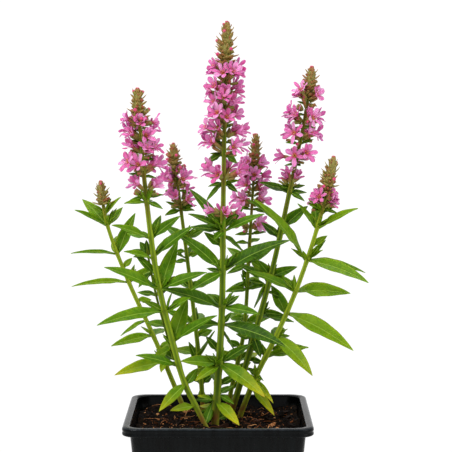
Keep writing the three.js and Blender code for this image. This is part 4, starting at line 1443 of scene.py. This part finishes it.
def pointed_bract(gathering, root, heading, tilt, length, width, rosy, ripe, chance):
    """A keeled scale that hugs its bud, widest low down, and ends in a long point."""
    t = np.linspace(0, bract_end, bract_stations)
    out, level = level_ways(heading)
    slope = tilt - cone_bract_bend / 2 + cone_bract_bend * t
    middle, normal = bent_line(root, slope, length, t, out, up)
    half = width * bract_outline(t)
    points = blade_points(middle, level[None, :], normal, np.outer(half, bract_across),
                          np.outer(half, bract_rise), bract_tip)
    share = np.append(np.repeat(t, len(bract_across)), 1) * (1 if rosy else bract_colour_end)
    gathering.add(points, bract_faces, share=share, rib=bract_colour_rib, rosy=rosy,
                  blush=ripe * chance.uniform(*bract_blush_spread))


for plant in plants:
    chance = np.random.default_rng(plant["seed"] + 400)
    scales, hairs, core = Gathering(), Gathering(), Gathering()
    low, high = plant["cone_foot"], plant["path"][-1][2] - cone_tip_length
    ripe = cone_ripeness - cone_youth * plant["pale"]
    height, layer = low - (cone_into_flowers if plant["whorls"] else 0), 0
    while height < high:
        share = max(0, (height - low) / (high - low))
        gap, count, tilt, broad, bud_radius = (
            np.interp(share, [0, 1], ends)
            for ends in (cone_layer_gaps, cone_layer_bracts, cone_tilts, cone_bract_widths, cone_bud_radii))
        count = round(count)
        for j in range(count):
            place = j + 0.5 * layer + chance.uniform(-cone_shift, cone_shift)
            heading = 2 * math.pi * place / count
            lean = math.radians(tilt + chance.uniform(-cone_tilt_spread, cone_tilt_spread))
            root = axis_at(plant, height) + level_ways(heading)[0] * cone_bract_place
            length = longest(plant, height, lean) * chance.uniform(*cone_bract_length_spread)
            width = broad * chance.uniform(*cone_bract_width_spread)
            pointed_bract(scales, root, heading, lean, length, width, 0.0, ripe, chance)
            steep = lean + cone_bud_lean
            room = longest(plant, height + 1, steep)
            for side in (-1, 1):
                rosy = chance.random() < pink_bud_share
                size = (pink_bud_length if rosy else chance.uniform(*cone_bud_share)) * room
                turn = heading + side * math.pi / (cone_bud_apart * count)
                calyx(scales, hairs, root + up, turn, steep, size,
                      bud_radius * (pink_bud_girth if rosy else 1), float(rosy), chance,
                      teeth=cone_bud_teeth, fur=cone_bud_hairs)
        height += gap
        layer += 1
    crown = axis_at(plant, high - cone_tip_sink)
    for j in range(cone_tip_bracts):
        turn = 2 * math.pi * j / cone_tip_bracts
        foot = crown + cone_tip_radius / 2 * level_ways(turn)[0]
        pointed_bract(scales, foot, turn, math.radians(cone_tip_tilt),
                      cone_tip_length * cone_tip_bract_length, cone_tip_radius * cone_tip_bract_girth,
                      cone_tip_rosy[0], ripe, chance)
    calyx(scales, hairs, crown - up, 0.0, math.pi / 2, cone_tip_length + cone_tip_sink,
          cone_tip_radius * cone_tip_bud_girth, cone_tip_rosy[1], chance, teeth=0)
    circle = np.column_stack([np.cos(calyx_turns), np.sin(calyx_turns), 0 * calyx_turns])
    rings = []
    for z in np.linspace(low + cone_core_ends[0], high + cone_core_ends[1], cone_core_rings):
        radius = plant["girth"] * rachis_tip_radius
        if z > low:
            radius = max(cone_core_least, cone_core_share * cone_reach(plant, z))
        rings.append(axis_at(plant, z) + radius * circle)
    core.add(np.vstack(rings), ring_faces(cone_core_rings, calyx_ring), **cone_core_colour)
    core.piece("cone_core_" + plant["name"], calyx_skin, "bud", "buds_" + plant["name"])
    scales.piece("bud_cone_" + plant["name"], calyx_skin, "bud", "buds_" + plant["name"])
    hairs.piece("cone_hairs_" + plant["name"], plant_hair, "bud")


# The studio: a plain pale floor and bright paper all round the horizon, which is dimmer high up
# and low down. Large soft lights stand above it on the left, on the right and at the back.
floor_half = 0.42
floor_white = "#F4F4F2"
lights = {"key": ((-0.8, -0.9, 1.6), 0.9, 26.0), "fill": ((1.3, -0.8, 1.0), 1.0, 9.0),
          "back": ((0.0, 0.7, 1.7), 1.2, 14.0)}
light_target = Vector((0, 0, 0.28))
paper_glow = [(0.0, 0.7), (0.32, 0.7), (0.4, 1.08), (0.58, 1.08), (0.75, 0.42), (1.0, 0.42)]
camera_place = (0.0063, -1.298, 0.389)
camera_tilt = 85.5
camera_lens = 127.6
camera_sensor = 36.0

bpy.ops.mesh.primitive_plane_add(size=2 * floor_half, location=(0, 0, 0))
floor = bpy.context.object
floor.name = "studio_floor"
paper, tree, shader = new_material("studio_paper_matt")
# Seamless background paper: matt and nearly white.
feed(tree, shader, {"Base Color": floor_white, "Roughness": 0.95})
floor.data.materials.append(paper)
floor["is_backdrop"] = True

for name, (spot, size, power) in lights.items():
    lamp = bpy.data.lights.new(name + "_light", "AREA")
    lamp.size = size
    lamp.energy = power
    holder = bpy.data.objects.new(name + "_light", lamp)
    holder.location = spot
    holder.rotation_euler = (light_target - Vector(spot)).to_track_quat("-Z", "Y").to_euler()
    bpy.context.scene.collection.objects.link(holder)

sky = bpy.data.worlds.new("studio_sky")
sky.use_nodes = True
tree = sky.node_tree
way = add_node(tree, "TexCoord").outputs["Generated"]
rise = add_node(tree, "SeparateXYZ", {"Vector": way}).outputs["Z"]
share = add_node(tree, "MapRange", {"Value": rise, "From Min": -1.0, "From Max": 1.0})
glow = add_node(tree, "ValToRGB", {"Fac": share}, stops=paper_glow)
feed(tree, tree.nodes["Background"], {"Color": glow})
bpy.context.scene.world = sky
bpy.context.scene.view_settings.view_transform = "Standard"

camera = bpy.data.objects.new("camera", bpy.data.cameras.new("camera"))
camera.location = camera_place
camera.rotation_euler = (math.radians(camera_tilt), 0, 0)
camera.data.lens = camera_lens
camera.data.sensor_width = camera_sensor
camera.data.clip_start = 0.05
bpy.context.scene.collection.objects.link(camera)
bpy.context.scene.camera = camera

size = {"cad": [list(corner) for corner in cad_box], "visual": [list(corner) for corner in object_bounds()]}
